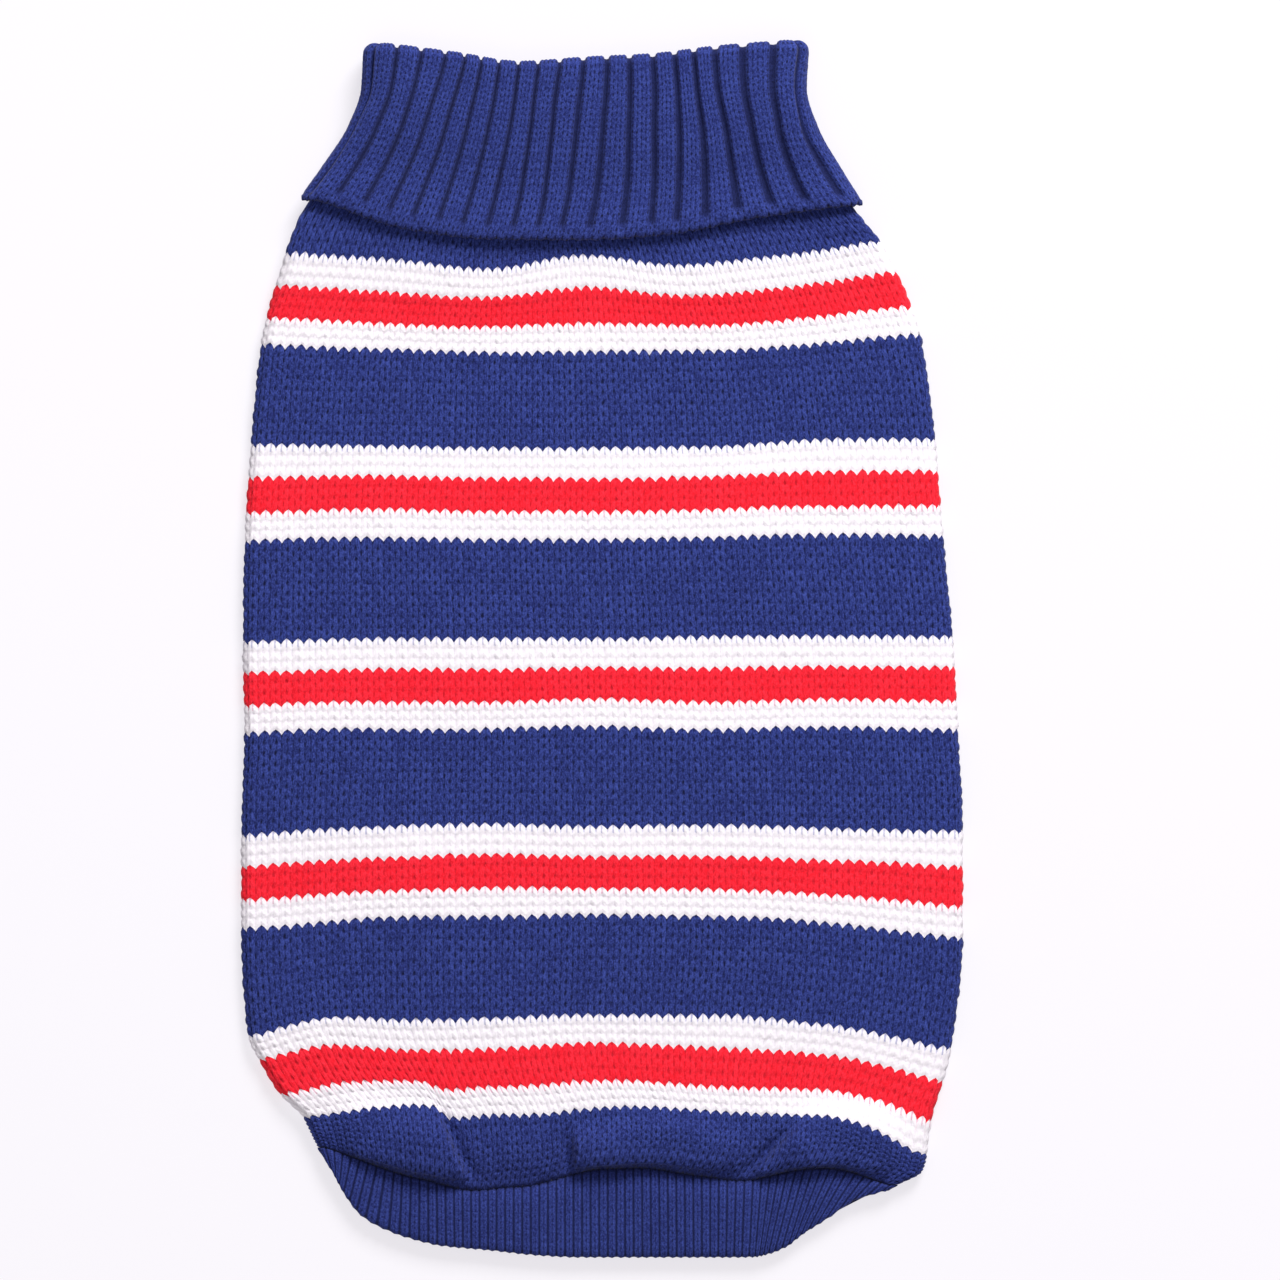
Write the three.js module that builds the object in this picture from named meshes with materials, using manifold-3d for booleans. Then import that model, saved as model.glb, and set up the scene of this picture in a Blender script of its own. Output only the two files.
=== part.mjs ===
// A striped knit dog sweater, laid flat with its back up and its collar turned down.
// Millimetres. +X is to the right, +Y towards the collar, +Z up, and z = 0 is the surface it lies on.
import * as THREE from 'three';
import { mergeVertices } from 'three/addons/utils/BufferGeometryUtils.js';
import Module from 'manifold-3d';

const wasm = await Module();
wasm.setup();

// Cloth
const BODY_WALL = 2.2;
const COLLAR_WALL = 2.4;
const STAND_WALL = 2.3;
const HEM_WALL = 2.0;
const SEAM_GAP = 0.3;

// Collar: a tube folded down on itself, measured inwards from the outside of the turned-down part
const FOLD_SLOT = 0.6;
const STAND_OUTSIDE = COLLAR_WALL + FOLD_SLOT;
const STAND_INSIDE = STAND_OUTSIDE + STAND_WALL;
const FOLD_RADIUS = STAND_INSIDE / 2;
const NECK_SEAM_AT = 0.23;
const COLLAR_RIBS = { top: 19, side: 3, height: 0.9, shape: [[0, 0], [0.22, 1], [0.78, 1]] };

// Ribs start this far up the side folds, as a share of the half circle, and are whole at the second one
const RIBS_FROM = 0.15;
const RIBS_WHOLE_AT = 0.5;

// Hem band
const HEM_RIBS = { top: 61, side: 3, height: 0.5, shape: [[0, 0], [0.5, 1]] };

// Belly panel and its leg openings
const BELLY_FROM = 0.17;
const BELLY_TO = 0.83;
const LEG_OPENING = { apart: 84, centreX: -2.7, centreY: 58, halfWidth: 23, halfLength: 32 };
const LEG_BAND_WIDTH = 9;
const LEG_BAND_SIDES = 36;

// The puffs above the hem die away over this many courses at the seam and over this share of the width
// at each side
const PUFF_SEAM_COURSES = 3;
const PUFF_SIDE_SHARE = 0.07;

// Body courses, from the neck seam (0) to the hem seam (95). y0 to y6 are heights at seven equal
// steps from the left outline to the right one.
const BODY_COURSES = table(
  ['course', 'left', 'right', 'y0', 'y1', 'y2', 'y3', 'y4', 'y5', 'y6'],
  [3, -91.9, 78.3, 134, 130.5, 127.5, 129, 128.5, 131.5, 133.5],
  [6, -97, 85.5, 121, 119, 116.5, 120, 117.5, 120, 124.5],
  [15, -104.5, 97.5, 93, 91.5, 90.5, 91, 91, 93, 96],
  [24, -107.5, 102, 62.5, 62.5, 61.5, 61.5, 62, 64, 64.5],
  [33, -109.5, 104.5, 33, 34, 33.5, 33.5, 34, 35, 34.5],
  [42, -110, 107.5, 2, 3, 3, 3, 3.5, 4, 3.5],
  [51, -109.5, 109, -25.5, -24.5, -24.5, -23.5, -24.5, -24, -24.5],
  [60, -110.5, 110.5, -57, -54.5, -53.5, -54.5, -54, -55, -56],
  [69, -110.5, 110.5, -85.5, -83, -82, -81.5, -82, -84.5, -88.5],
  [78, -108.5, 107, -118.5, -113.5, -113, -112, -112, -115, -122],
  [81, -105, 104.5, -126, -123, -122.5, -120.5, -122, -124, -132.5],
  [84, -99, 101, -136, -131.5, -133, -131, -133, -134, -144.5],
  [87, -91.5, 99.5, -143.5, -139.5, -142.5, -140, -141.5, -143, -155],
  [91, -89, 98, -148.5, -151.5, -154.5, -150, -152, -151.5, -160],
  [95, -87, 90.5, -152.5, -162, -165, -159, -161.5, -159.5, -164],
);

// How high the body's underside, its side folds and the middle of its back lie
const BODY_HEIGHTS = table(
  ['course', 'floor', 'edge', 'crown'],
  [4.5, 2.8, 8.7, 8.8],
  [8, 0.5, 7.4, 8],
  [11, 0, 6.2, 7],
  [17, 0, 5.4, 6.4],
  [80, 0, 5.2, 6.3],
  [88, 0, 6, 7.2],
  [92, 0, 5.6, 6.4],
  [95, 0, 4.8, 4.8],
);

// Puffs and folds above the hem seam: a centre, half sizes along and across the fold, the angle of
// its length from +X in degrees, and its rise, negative in a fold
const HEM_PUFFS = table(
  ['x', 'y', 'along', 'across', 'angle', 'rise'],
  [-64, -147, 20, 10, -12, 3.2],
  [-26, -150, 14, 10, 0, 3],
  [17, -147, 24, 10, 0, 3.4],
  [76, -149, 20, 10, -12, 3.2],
  [-45, -151, 11, 3.5, -67, -2.2],
  [-9, -155, 8, 4, -80, -2.4],
  [52, -153, 11, 4, 45, -2.4],
);

// Collar lines, from its free edge (0) to the top of its fold (1); rise is its whole thickness and sag
// how far the middle of its underside hangs back
const COLLAR_LINES = table(
  ['at', 'left', 'right', 'y0', 'y1', 'y2', 'y3', 'y4', 'y5', 'y6', 'rise', 'sag'],
  [0, -92.5, 80.2, 137.2, 128.5, 125.5, 125.3, 127, 132, 135.6, 11.6, 0],
  [0.25, -84, 72.6, 149, 143.5, 139.5, 139.5, 140.5, 144.5, 147.3, 12.4, 0],
  [0.5, -76.7, 65.4, 160.5, 156, 153.5, 153, 154, 157, 160, 14, 3],
  [0.75, -73, 62, 172.5, 169.3, 166.3, 166.3, 167.5, 170.5, 173, 15, 6],
  [1, -72.4, 62.5, 184.8, 182.2, 179.4, 180.7, 181.7, 184.1, 185.7, 15.2, 6.5],
);

// Hem band lines, from its seam (0) to its free edge (1), with x0 to x6 where its ribs run
const HEM_LINES = table(
  ['at', 'left', 'right', 'y0', 'y1', 'y2', 'y3', 'y4', 'y5', 'y6'],
  [0.5, -81.5, 73, -162.5, -172.5, -175, -174.5, -175, -174, -170.5],
  [1, -76, 56, -172.5, -181, -183.5, -186, -186, -186, -184],
);
const HEM_RIB_STATIONS = table(
  ['at', 'x0', 'x1', 'x2', 'x3', 'x4', 'x5', 'x6'],
  [0, -87, -57.4, -27.8, 1.75, 31.3, 60.9, 90.5],
  [0.5, -81.5, -56.5, -29, -0.5, 27, 52, 73],
  [1, -76, -55, -29.5, -2.5, 22.5, 42.5, 56],
);
const HEM_HEIGHTS = table(
  ['at', 'edge', 'crown'],
  [0, 4.8, 4.8],
  [0.3, 5.2, 5.8],
  [1, 4.8, 5.2],
);

// How many steps each piece is built with
const BODY_ROWS = [
  0, 1.5, 3, 4.5, 6, 8, 11, 15, 20, 26, 33, 42, 51, 60, 69, 75, 80, 83, 85.5, 88, 90, 92, 93.5, 94.4, 95,
];
const BACK_STEPS = { under: 2, side: 6, top: 36 };
const BELLY_STEPS = 6;
const COLLAR_FLAP_ROWS = 6;
const COLLAR_FOLD_ROWS = 6;
const COLLAR_STAND_ROWS = 3;
const HEM_ROWS = 4;
const RING_UNDER_STEPS = 8;

const BODY_YARN = { color: 0x2a3f95, roughness: 0.95, metalness: 0 };
const RIB_YARN = { color: 0x24408f, roughness: 0.95, metalness: 0 };
const bodyKnit = new THREE.MeshStandardMaterial(BODY_YARN);
const ribKnit = new THREE.MeshStandardMaterial(RIB_YARN);

// Rows of numbers as objects, under the names in columns
function table(columns, ...rows) {
  return rows.map((row) => Object.fromEntries(columns.map((name, i) => [name, row[i]])));
}

// A smooth curve through (keys, values) that never passes its own points
function curveThrough(keys, values) {
  const last = keys.length - 1;
  const steps = keys.slice(1).map((key, i) => key - keys[i]);
  const slopes = steps.map((step, i) => (values[i + 1] - values[i]) / step);
  const tangents = values.map((value, i) => {
    if (i === 0) return slopes[0];
    if (i === last) return slopes[last - 1];
    const product = slopes[i - 1] * slopes[i];
    return product <= 0 ? 0 : (2 * product) / (slopes[i - 1] + slopes[i]);
  });
  return (key) => {
    let i = 0;
    while (i < last - 1 && key > keys[i + 1]) i += 1;
    const t = THREE.MathUtils.clamp((key - keys[i]) / steps[i], 0, 1);
    const rest = 1 - t;
    return (
      (1 + 2 * t) * rest * rest * values[i]
      + t * rest * rest * steps[i] * tangents[i]
      + t * t * (3 - 2 * t) * values[i + 1]
      - t * t * rest * steps[i] * tangents[i + 1]
    );
  };
}

// One curve for each column of a table, all against the same key column
function tableCurves(rows, key) {
  const keys = rows.map((row) => row[key]);
  const names = Object.keys(rows[0]).filter((name) => name !== key);
  const curves = names.map((name) => [name, curveThrough(keys, rows.map((row) => row[name]))]);
  return (at) => Object.fromEntries(curves.map(([name, curve]) => [name, curve(at)]));
}

// Seven columns such as y0 to y6, read as one curve from the left outline (0) to the right one (1)
const STATIONS = [0, 1, 2, 3, 4, 5, 6].map((i) => i / 6);
function acrossCurve(row, letter) {
  return curveThrough(STATIONS, STATIONS.map((station, i) => row[`${letter}${i}`]));
}

// The line that one course follows: its outlines, its height across the top, and how far across the
// flat part of the top each step of the way lies
function lineOf(row) {
  const { left, right, sag = 0 } = row;
  return { left, right, sag, y: acrossCurve(row, 'y'), spread: (at) => at };
}

// A point of a flattened tube. stop.part names the part of the ring and stop.at how far along it the
// point is: the left fold runs up from the floor, the top left to right, the right fold down again and
// the underside, where a course is straight or hangs back in its middle, left to right. Depth is
// measured inwards.
function tubePoint(line, heights, stop, depth, moveY) {
  const radius = (heights.edge - heights.floor) / 2;
  const flatLeft = line.left + radius;
  const flatRight = line.right - radius;
  const round = radius - depth;
  const middle = heights.floor + radius;
  const turn = Math.PI * stop.at;
  if (stop.part === 'left') {
    return [flatLeft - round * Math.sin(turn), line.y(0) + moveY, middle - round * Math.cos(turn)];
  }
  if (stop.part === 'right') {
    return [flatRight + round * Math.sin(turn), line.y(1) + moveY, middle + round * Math.cos(turn)];
  }
  const x = THREE.MathUtils.lerp(flatLeft, flatRight, line.spread(stop.at));
  if (stop.part === 'under') {
    const straight = THREE.MathUtils.lerp(line.y(0), line.y(1), line.spread(stop.at));
    const sag = 4 * line.sag * stop.at * (1 - stop.at);
    return [x, straight - sag + moveY, heights.floor + depth];
  }
  const y = line.y(stop.at) + moveY;
  const bulge = 1 - (2 * stop.at - 1) ** 4;
  const lift = heights.lift ? heights.lift(x, y, stop.at) : 0;
  return [x, y, heights.edge + (heights.crown - heights.edge) * bulge + lift - depth];
}

// Stops along one part of the ring, from the first to the last, as many as steps + 1
function stopsAlong(part, steps, from = 0, to = 1) {
  const step = (to - from) / steps;
  return Array.from({ length: steps + 1 }, (_, i) => ({ part, at: from + i * step, rib: 0 }));
}

// Stops with ribs over both folds and the top; the underside stays plain. A rib's shape is a short list
// of places across its width and how high it is there.
function ribbedRing(ribs) {
  const stops = [];
  const addRibs = (part, count, fade) => {
    for (let i = 0; i < count; i += 1) {
      for (const [place, height] of ribs.shape) {
        const at = (i + place) / count;
        stops.push({ part, at, rib: ribs.height * height * fade(at) });
      }
    }
  };
  const fadeUp = (up) => THREE.MathUtils.smoothstep(up, RIBS_FROM, RIBS_WHOLE_AT);
  addRibs('left', ribs.side, (at) => fadeUp(at));
  addRibs('top', ribs.top, () => 1);
  addRibs('right', ribs.side, (at) => fadeUp(1 - at));
  return stops.concat(stopsAlong('under', RING_UNDER_STEPS, 1, 0).slice(0, -1));
}

// A closed wall between an outer and an inner grid of points, with its edges closed by narrow faces.
// closed joins the last column to the first, as in a tube.
function wallBetween(outer, inner, closed) {
  const rows = outer.length;
  const columns = outer[0].length;
  const out = (row, column) => row * columns + (column % columns);
  const into = (row, column) => rows * columns + out(row, column);
  const index = [];
  const quad = (a, b, c, d) => index.push(a, b, c, a, c, d);
  const lastRow = rows - 1;
  const lastColumn = columns - 1;
  const steps = closed ? columns : lastColumn;
  for (let column = 0; column < steps; column += 1) {
    const next = column + 1;
    for (let row = 0; row < lastRow; row += 1) {
      quad(out(row, column), out(row, next), out(row + 1, next), out(row + 1, column));
      quad(into(row, column), into(row + 1, column), into(row + 1, next), into(row, next));
    }
    quad(out(0, column), into(0, column), into(0, next), out(0, next));
    quad(out(lastRow, column), out(lastRow, next), into(lastRow, next), into(lastRow, column));
  }
  if (!closed) {
    for (let row = 0; row < lastRow; row += 1) {
      quad(out(row, 0), out(row + 1, 0), into(row + 1, 0), into(row, 0));
      quad(out(row, lastColumn), into(row, lastColumn), into(row + 1, lastColumn), out(row + 1, lastColumn));
    }
  }
  return outwards(geometryOf([...outer.flat(2), ...inner.flat(2)], index));
}

function geometryOf(positions, index) {
  const geometry = new THREE.BufferGeometry();
  geometry.setAttribute('position', new THREE.Float32BufferAttribute(positions, 3));
  geometry.setIndex(index);
  return geometry;
}

// Turns every face round if the body would be inside out
function outwards(geometry) {
  const place = geometry.getAttribute('position');
  const index = Array.from(geometry.getIndex().array);
  const corner = (i) => new THREE.Vector3().fromBufferAttribute(place, index[i]);
  let volume = 0;
  for (let i = 0; i < index.length; i += 3) {
    volume += corner(i).dot(corner(i + 1).cross(corner(i + 2)));
  }
  if (volume < 0) {
    for (let i = 0; i < index.length; i += 3) {
      [index[i + 1], index[i + 2]] = [index[i + 2], index[i + 1]];
    }
    geometry.setIndex(index);
  }
  return geometry;
}

function toSolid(geometry) {
  const bare = geometry.clone();
  bare.deleteAttribute('normal');
  bare.deleteAttribute('uv');
  const merged = mergeVertices(bare, 1e-4);
  const vertProperties = new Float32Array(merged.getAttribute('position').array);
  const triVerts = new Uint32Array(merged.getIndex().array);
  return new wasm.Manifold(new wasm.Mesh({ numProp: 3, vertProperties, triVerts }));
}

function fromSolid(solid) {
  const mesh = solid.getMesh();
  return geometryOf(Array.from(mesh.vertProperties), Array.from(mesh.triVerts));
}

// Collar: down the outside of the turned-down part, over the fold and down the inside of the neck
const collarRow = tableCurves(COLLAR_LINES, 'at');

function collarSection(at) {
  const row = collarRow(at);
  // Towards the top the table gives the top of the fold, and the line is its centre
  const line = lineOf(row);
  const drop = FOLD_RADIUS * THREE.MathUtils.smoothstep(at, 0.5, 1);
  return {
    line: { ...line, y: (a) => line.y(a) - drop },
    heights: { floor: 0, edge: row.rise, crown: row.rise },
  };
}

function collarProfile() {
  const rows = [];
  for (let i = 0; i <= COLLAR_FLAP_ROWS; i += 1) {
    const at = i / COLLAR_FLAP_ROWS;
    rows.push({ at, outside: 0, hidden: COLLAR_WALL, outsideUp: 0, hiddenUp: 0, rib: 1 });
  }
  const hiddenCentre = (COLLAR_WALL + STAND_OUTSIDE) / 2;
  for (let i = 1; i < COLLAR_FOLD_ROWS; i += 1) {
    const turn = (Math.PI * i) / COLLAR_FOLD_ROWS;
    rows.push({
      at: 1,
      outside: FOLD_RADIUS * (1 - Math.cos(turn)),
      hidden: hiddenCentre - (FOLD_SLOT / 2) * Math.cos(turn),
      outsideUp: FOLD_RADIUS * Math.sin(turn),
      hiddenUp: (FOLD_SLOT / 2) * Math.sin(turn),
      rib: Math.max(0, Math.cos(turn / 2)),
      turn,
    });
  }
  for (let i = 0; i <= COLLAR_STAND_ROWS; i += 1) {
    const at = 1 - ((1 - NECK_SEAM_AT) * i) / COLLAR_STAND_ROWS;
    const up = i === COLLAR_STAND_ROWS ? SEAM_GAP / 2 : 0;
    rows.push({ at, outside: STAND_INSIDE, hidden: STAND_OUTSIDE, outsideUp: up, hiddenUp: up, rib: 0 });
  }
  return rows;
}

function makeCollar() {
  const ring = ribbedRing(COLLAR_RIBS);
  const profile = collarProfile();
  const outside = profile.map((row) => {
    const { line, heights } = collarSection(row.at);
    const turn = row.turn ?? 0;
    return ring.map((stop) => {
      const rib = stop.rib * row.rib;
      const depth = row.outside - rib * Math.cos(turn);
      return tubePoint(line, heights, stop, depth, row.outsideUp + rib * Math.sin(turn));
    });
  });
  const hidden = profile.map((row) => {
    const { line, heights } = collarSection(row.at);
    return ring.map((stop) => tubePoint(line, heights, stop, row.hidden, row.hiddenUp));
  });
  return wallBetween(outside, hidden, true);
}

// Body: its first course is the neck seam, round the end of the collar's stand
function neckCourse() {
  const { line, heights } = collarSection(NECK_SEAM_AT);
  const row = { course: 0, left: line.left + STAND_OUTSIDE, right: line.right - STAND_OUTSIDE };
  STATIONS.forEach((station, i) => {
    row[`y${i}`] = line.y(station);
  });
  const top = heights.edge - STAND_OUTSIDE;
  return { row, heights: { course: 0, floor: STAND_OUTSIDE, edge: top, crown: top } };
}

const neck = neckCourse();
const bodyRow = tableCurves([neck.row, ...BODY_COURSES], 'course');
const bodyHeights = tableCurves([neck.heights, ...BODY_HEIGHTS], 'course');
const LAST_COURSE = BODY_ROWS[BODY_ROWS.length - 1];

// How far the puffs and folds above the hem lift the back at a point
function hemPuff(x, y) {
  return HEM_PUFFS.reduce((sum, puff) => {
    const angle = THREE.MathUtils.degToRad(puff.angle);
    const dx = x - puff.x;
    const dy = y - puff.y;
    const along = (dx * Math.cos(angle) + dy * Math.sin(angle)) / puff.along;
    const across = (dy * Math.cos(angle) - dx * Math.sin(angle)) / puff.across;
    return sum + puff.rise * Math.exp(-(along * along + across * across));
  }, 0);
}

function bodySection(course) {
  const seamFade = THREE.MathUtils.smoothstep(LAST_COURSE - course, 0, PUFF_SEAM_COURSES);
  const lift = (x, y, at) => {
    const sideFade = THREE.MathUtils.smoothstep(Math.min(at, 1 - at), 0, PUFF_SIDE_SHARE);
    return hemPuff(x, y) * seamFade * sideFade;
  };
  return { line: lineOf(bodyRow(course)), heights: { ...bodyHeights(course), lift } };
}

// Half the seam gap is taken off the body at its neck and at its hem
function bodyEndMove(course) {
  if (course === 0) return -SEAM_GAP / 2;
  return course === LAST_COURSE ? SEAM_GAP / 2 : 0;
}

function bodyGrid(stopsOf, depth) {
  return BODY_ROWS.map((course) => {
    const { line, heights } = bodySection(course);
    return stopsOf(line, heights).map((stop) => tubePoint(line, heights, stop, depth, bodyEndMove(course)));
  });
}

// The belly seams as places along the underside, moved by half the gap to either side
function seamStops(line, heights) {
  const radius = (heights.edge - heights.floor) / 2;
  const width = line.right - line.left;
  const flat = width - 2 * radius;
  const place = (fraction, move) => (fraction * width - radius + move) / flat;
  const half = SEAM_GAP / 2;
  return {
    backLeft: place(BELLY_FROM, -half),
    bellyLeft: place(BELLY_FROM, half),
    bellyRight: place(BELLY_TO, -half),
    backRight: place(BELLY_TO, half),
  };
}

function makeBackPanel() {
  const { under, side, top } = BACK_STEPS;
  const stopsOf = (line, heights) => {
    const seams = seamStops(line, heights);
    return [
      ...stopsAlong('under', under, seams.backLeft, 0).slice(0, -1),
      ...stopsAlong('left', side).slice(0, -1),
      ...stopsAlong('top', top).slice(0, -1),
      ...stopsAlong('right', side).slice(0, -1),
      ...stopsAlong('under', under, 1, seams.backRight),
    ];
  };
  return wallBetween(bodyGrid(stopsOf, 0), bodyGrid(stopsOf, BODY_WALL), false);
}

const LEG_SIDES = { left: -1, right: 1 };

// An ellipse standing for a leg opening or its band, made smaller all round by a margin
function legEllipse(margin) {
  const ellipse = new THREE.EllipseCurve(
    0, 0, LEG_OPENING.halfWidth - margin, LEG_OPENING.halfLength - margin, 0, 2 * Math.PI, false, 0,
  );
  return ellipse.getPoints(LEG_BAND_SIDES).slice(0, -1);
}

function legPlace(side) {
  return new THREE.Vector3(LEG_OPENING.centreX + (side * LEG_OPENING.apart) / 2, LEG_OPENING.centreY, 0);
}

function makeBellyPanel() {
  const stopsOf = (line, heights) => {
    const seams = seamStops(line, heights);
    return stopsAlong('under', BELLY_STEPS, seams.bellyLeft, seams.bellyRight);
  };
  const panel = toSolid(wallBetween(bodyGrid(stopsOf, 0), bodyGrid(stopsOf, BODY_WALL), false));
  const cutter = new THREE.ExtrudeGeometry(new THREE.Shape(legEllipse(0)), {
    depth: 3 * BODY_WALL,
    bevelEnabled: false,
  });
  const cut = Object.values(LEG_SIDES).reduce((solid, side) => {
    const place = legPlace(side);
    return solid.subtract(toSolid(cutter.clone().translate(place.x, place.y, -BODY_WALL)));
  }, panel);
  return fromSolid(cut);
}

function makeLegBand() {
  const ring = new THREE.Shape(legEllipse(SEAM_GAP));
  ring.holes.push(new THREE.Path(legEllipse(SEAM_GAP + LEG_BAND_WIDTH)));
  return new THREE.ExtrudeGeometry(ring, { depth: BODY_WALL, bevelEnabled: false });
}

// Hem band: from the body's last course to its own free edge
function makeHemBand() {
  const seam = { ...bodyRow(LAST_COURSE), at: 0 };
  const rowAt = tableCurves([seam, ...HEM_LINES], 'at');
  const ribsAt = tableCurves(HEM_RIB_STATIONS, 'at');
  const heightsAt = tableCurves(HEM_HEIGHTS, 'at');
  const ring = ribbedRing(HEM_RIBS);
  const grid = (depth, ribs) => Array.from({ length: HEM_ROWS + 1 }, (_, i) => {
    const at = i / HEM_ROWS;
    const stations = ribsAt(at);
    const ribX = acrossCurve(stations, 'x');
    const spread = (step) => (ribX(step) - stations.x0) / (stations.x6 - stations.x0);
    const line = { ...lineOf(rowAt(at)), spread };
    const heights = { floor: 0, ...heightsAt(at) };
    const move = i === 0 ? -SEAM_GAP / 2 : 0;
    return ring.map((stop) => tubePoint(line, heights, stop, depth - ribs * stop.rib, move));
  });
  return wallBetween(grid(0, 1), grid(HEM_WALL, 0), true);
}

const sweater = new THREE.Group();

function addPiece(name, geometry, material, place = new THREE.Vector3()) {
  const mesh = new THREE.Mesh(geometry, material);
  mesh.name = name;
  mesh.position.copy(place);
  sweater.add(mesh);
}

addPiece('back_panel', makeBackPanel(), bodyKnit);
addPiece('belly_panel', makeBellyPanel(), bodyKnit);
addPiece('collar', makeCollar(), ribKnit);
addPiece('hem_band', makeHemBand(), ribKnit);
for (const [name, side] of Object.entries(LEG_SIDES)) {
  addPiece(`leg_band_${name}`, makeLegBand(), ribKnit, legPlace(side));
}

export default sweater;
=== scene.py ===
"""A striped knit dog sweater, laid flat with its back up and its collar turned down.

Every stitch of the body, collar and bands is raised in the mesh of a thin closed shell. The tables of
courses are the garment's own, in millimetres, and the meshes are in metres.
"""
import math

import bpy
import numpy as np
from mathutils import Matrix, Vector


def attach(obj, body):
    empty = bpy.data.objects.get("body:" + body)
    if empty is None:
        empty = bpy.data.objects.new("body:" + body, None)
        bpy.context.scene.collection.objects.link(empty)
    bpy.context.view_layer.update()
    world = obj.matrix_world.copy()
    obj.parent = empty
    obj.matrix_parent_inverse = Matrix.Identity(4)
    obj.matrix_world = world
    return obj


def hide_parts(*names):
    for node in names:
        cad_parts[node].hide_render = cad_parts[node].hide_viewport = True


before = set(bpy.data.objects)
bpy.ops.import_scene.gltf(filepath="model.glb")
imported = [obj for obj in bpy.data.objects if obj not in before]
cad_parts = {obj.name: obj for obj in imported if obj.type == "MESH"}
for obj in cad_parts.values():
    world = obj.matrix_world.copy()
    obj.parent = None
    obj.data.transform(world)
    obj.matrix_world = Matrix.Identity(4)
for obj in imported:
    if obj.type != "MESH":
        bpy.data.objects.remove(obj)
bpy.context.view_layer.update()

bl_info = {
    "name": "Striped Knit Dog Sweater",
    "version": (1, 0, 0),
    "blender": (4, 5, 0),
    "location": "View3D > Sidebar > Sweater",
    "description": "Knits a striped dog sweater, piece by piece, and lays it on a pale floor",
    "category": "Object",
}

MM = 0.001

# Places in the ring of a flattened tube
LEFT, TOP, RIGHT, UNDER = range(4)

# Cloth, in millimetres
BODY_WALL = 2.2
COLLAR_WALL = 2.4
STAND_WALL = 2.3
FOLD_SLOT = 0.6
HEM_WALL = 2.0
SEAM_GAP = 0.05
STAND_OUTSIDE = COLLAR_WALL + FOLD_SLOT
STAND_INSIDE = STAND_OUTSIDE + STAND_WALL
FOLD_RADIUS = STAND_INSIDE / 2
# How far the neck seam lies from the collar's free edge, 0, to its fold, 1
NECK_SEAM_AT = 0.23
# The seven equal steps across a tube's top
STATIONS = np.arange(7) / 6

# Body courses: course, left outline, right outline, y at the seven steps
BODY_COURSES = np.array([
    (3, -91.9, 78.3, 134, 130.5, 127.5, 129, 128.5, 131.5, 133.5),
    (6, -97, 85.5, 121, 119, 116.5, 120, 117.5, 120, 124.5),
    (15, -104.5, 97.5, 93, 91.5, 90.5, 91, 91, 93, 96),
    (24, -107.5, 102, 62.5, 62.5, 61.5, 61.5, 62, 64, 64.5),
    (33, -109.5, 104.5, 33, 34, 33.5, 33.5, 34, 35, 34.5),
    (42, -110, 107.5, 2, 3, 3, 3, 3.5, 4, 3.5),
    (51, -109.5, 109, -25.5, -24.5, -24.5, -23.5, -24.5, -24, -24.5),
    (60, -110.5, 110.5, -57, -54.5, -53.5, -54.5, -54, -55, -56),
    (69, -110.5, 110.5, -85.5, -83, -82, -81.5, -82, -84.5, -88.5),
    (78, -108.5, 107, -118.5, -113.5, -113, -112, -112, -115, -122),
    (81, -105, 104.5, -126, -123, -122.5, -120.5, -122, -124, -132.5),
    (84, -99, 101, -136, -131.5, -133, -131, -133, -134, -144.5),
    (87, -91.5, 99.5, -143.5, -139.5, -142.5, -140, -141.5, -143, -155),
    (91, -89, 98, -148.5, -151.5, -154.5, -150, -152, -151.5, -160),
    (95, -87, 90.5, -152.5, -162, -165, -159, -161.5, -159.5, -164),
])
# Body heights above the floor: course, underside, side folds, middle of the back
BODY_HEIGHTS = np.array([
    (4.5, 2.8, 8.7, 8.8),
    (8, 0.5, 7.4, 8),
    (11, 0, 6.2, 7),
    (17, 0, 5.4, 6.4),
    (80, 0, 5.2, 6.3),
    (88, 0, 6, 7.2),
    (92, 0, 5.6, 6.4),
    (95, 0, 4.8, 4.8),
])
# Puffs and creases above the hem: x, y, half length, half width, angle in degrees, rise, steepness
HEM_PUFFS = (
    (-64, -151, 20, 11, -14, 3.4, 2.0),
    (-26, -153, 12, 8, 0, 1.0, 1.0),
    (18, -153, 25, 10, 0, 3.6, 2.5),
    (76, -152, 22, 11, -10, 3.6, 2.0),
    (-43.5, -151, 12, 2.2, -67, -2.0, 1.2),
    (-10.5, -155, 8, 2.0, -88, -2.0, 1.2),
    (50, -154.5, 11, 2.2, 45, -2.2, 1.2),
)
# The puffs and waves begin about this course
PUFFS_FROM = 84
# Waves of cloth above the hem, steep behind their crest: x, y, direction of the gentle side in degrees,
# half length of the crest, reach of the steep side and of the gentle one, rise
HEM_FOLDS = (
    (-46.7, -151.8, 203, 12, 3.0, 17, 3.2),
    (-7.4, -155.5, 0, 8, 2.6, 15, 2.8),
    (53, -154.5, -44, 11, 3.0, 16, 3.0),
)
# Deeper creases would reach the belly panel
DEEPEST_CREASE = -1.6
# Places where the knit is pushed along the back: x, y, half length, half width, move towards the collar
NUDGES = (
    (-86, -124, 15, 14, 3.0),
    (90, -144, 17, 12, 2.4),
)
# Where the knit slips down beside the left fold, set out as the waves are
FOLD_SLIP = (-45, -144, 23, 14, 5, 9, -3.0)
# How far the hem seam lies towards the collar of its line, at twelve equal steps across, and the course
# from which the courses above follow it
SEAM_WAVE = np.array([0, 0.2, 0, -1.4, 0.4, 0.2, 0, 1.2, 0.2, -2.0, 0, 1.8, 0])
SEAM_WAVE_FROM = 87
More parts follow.
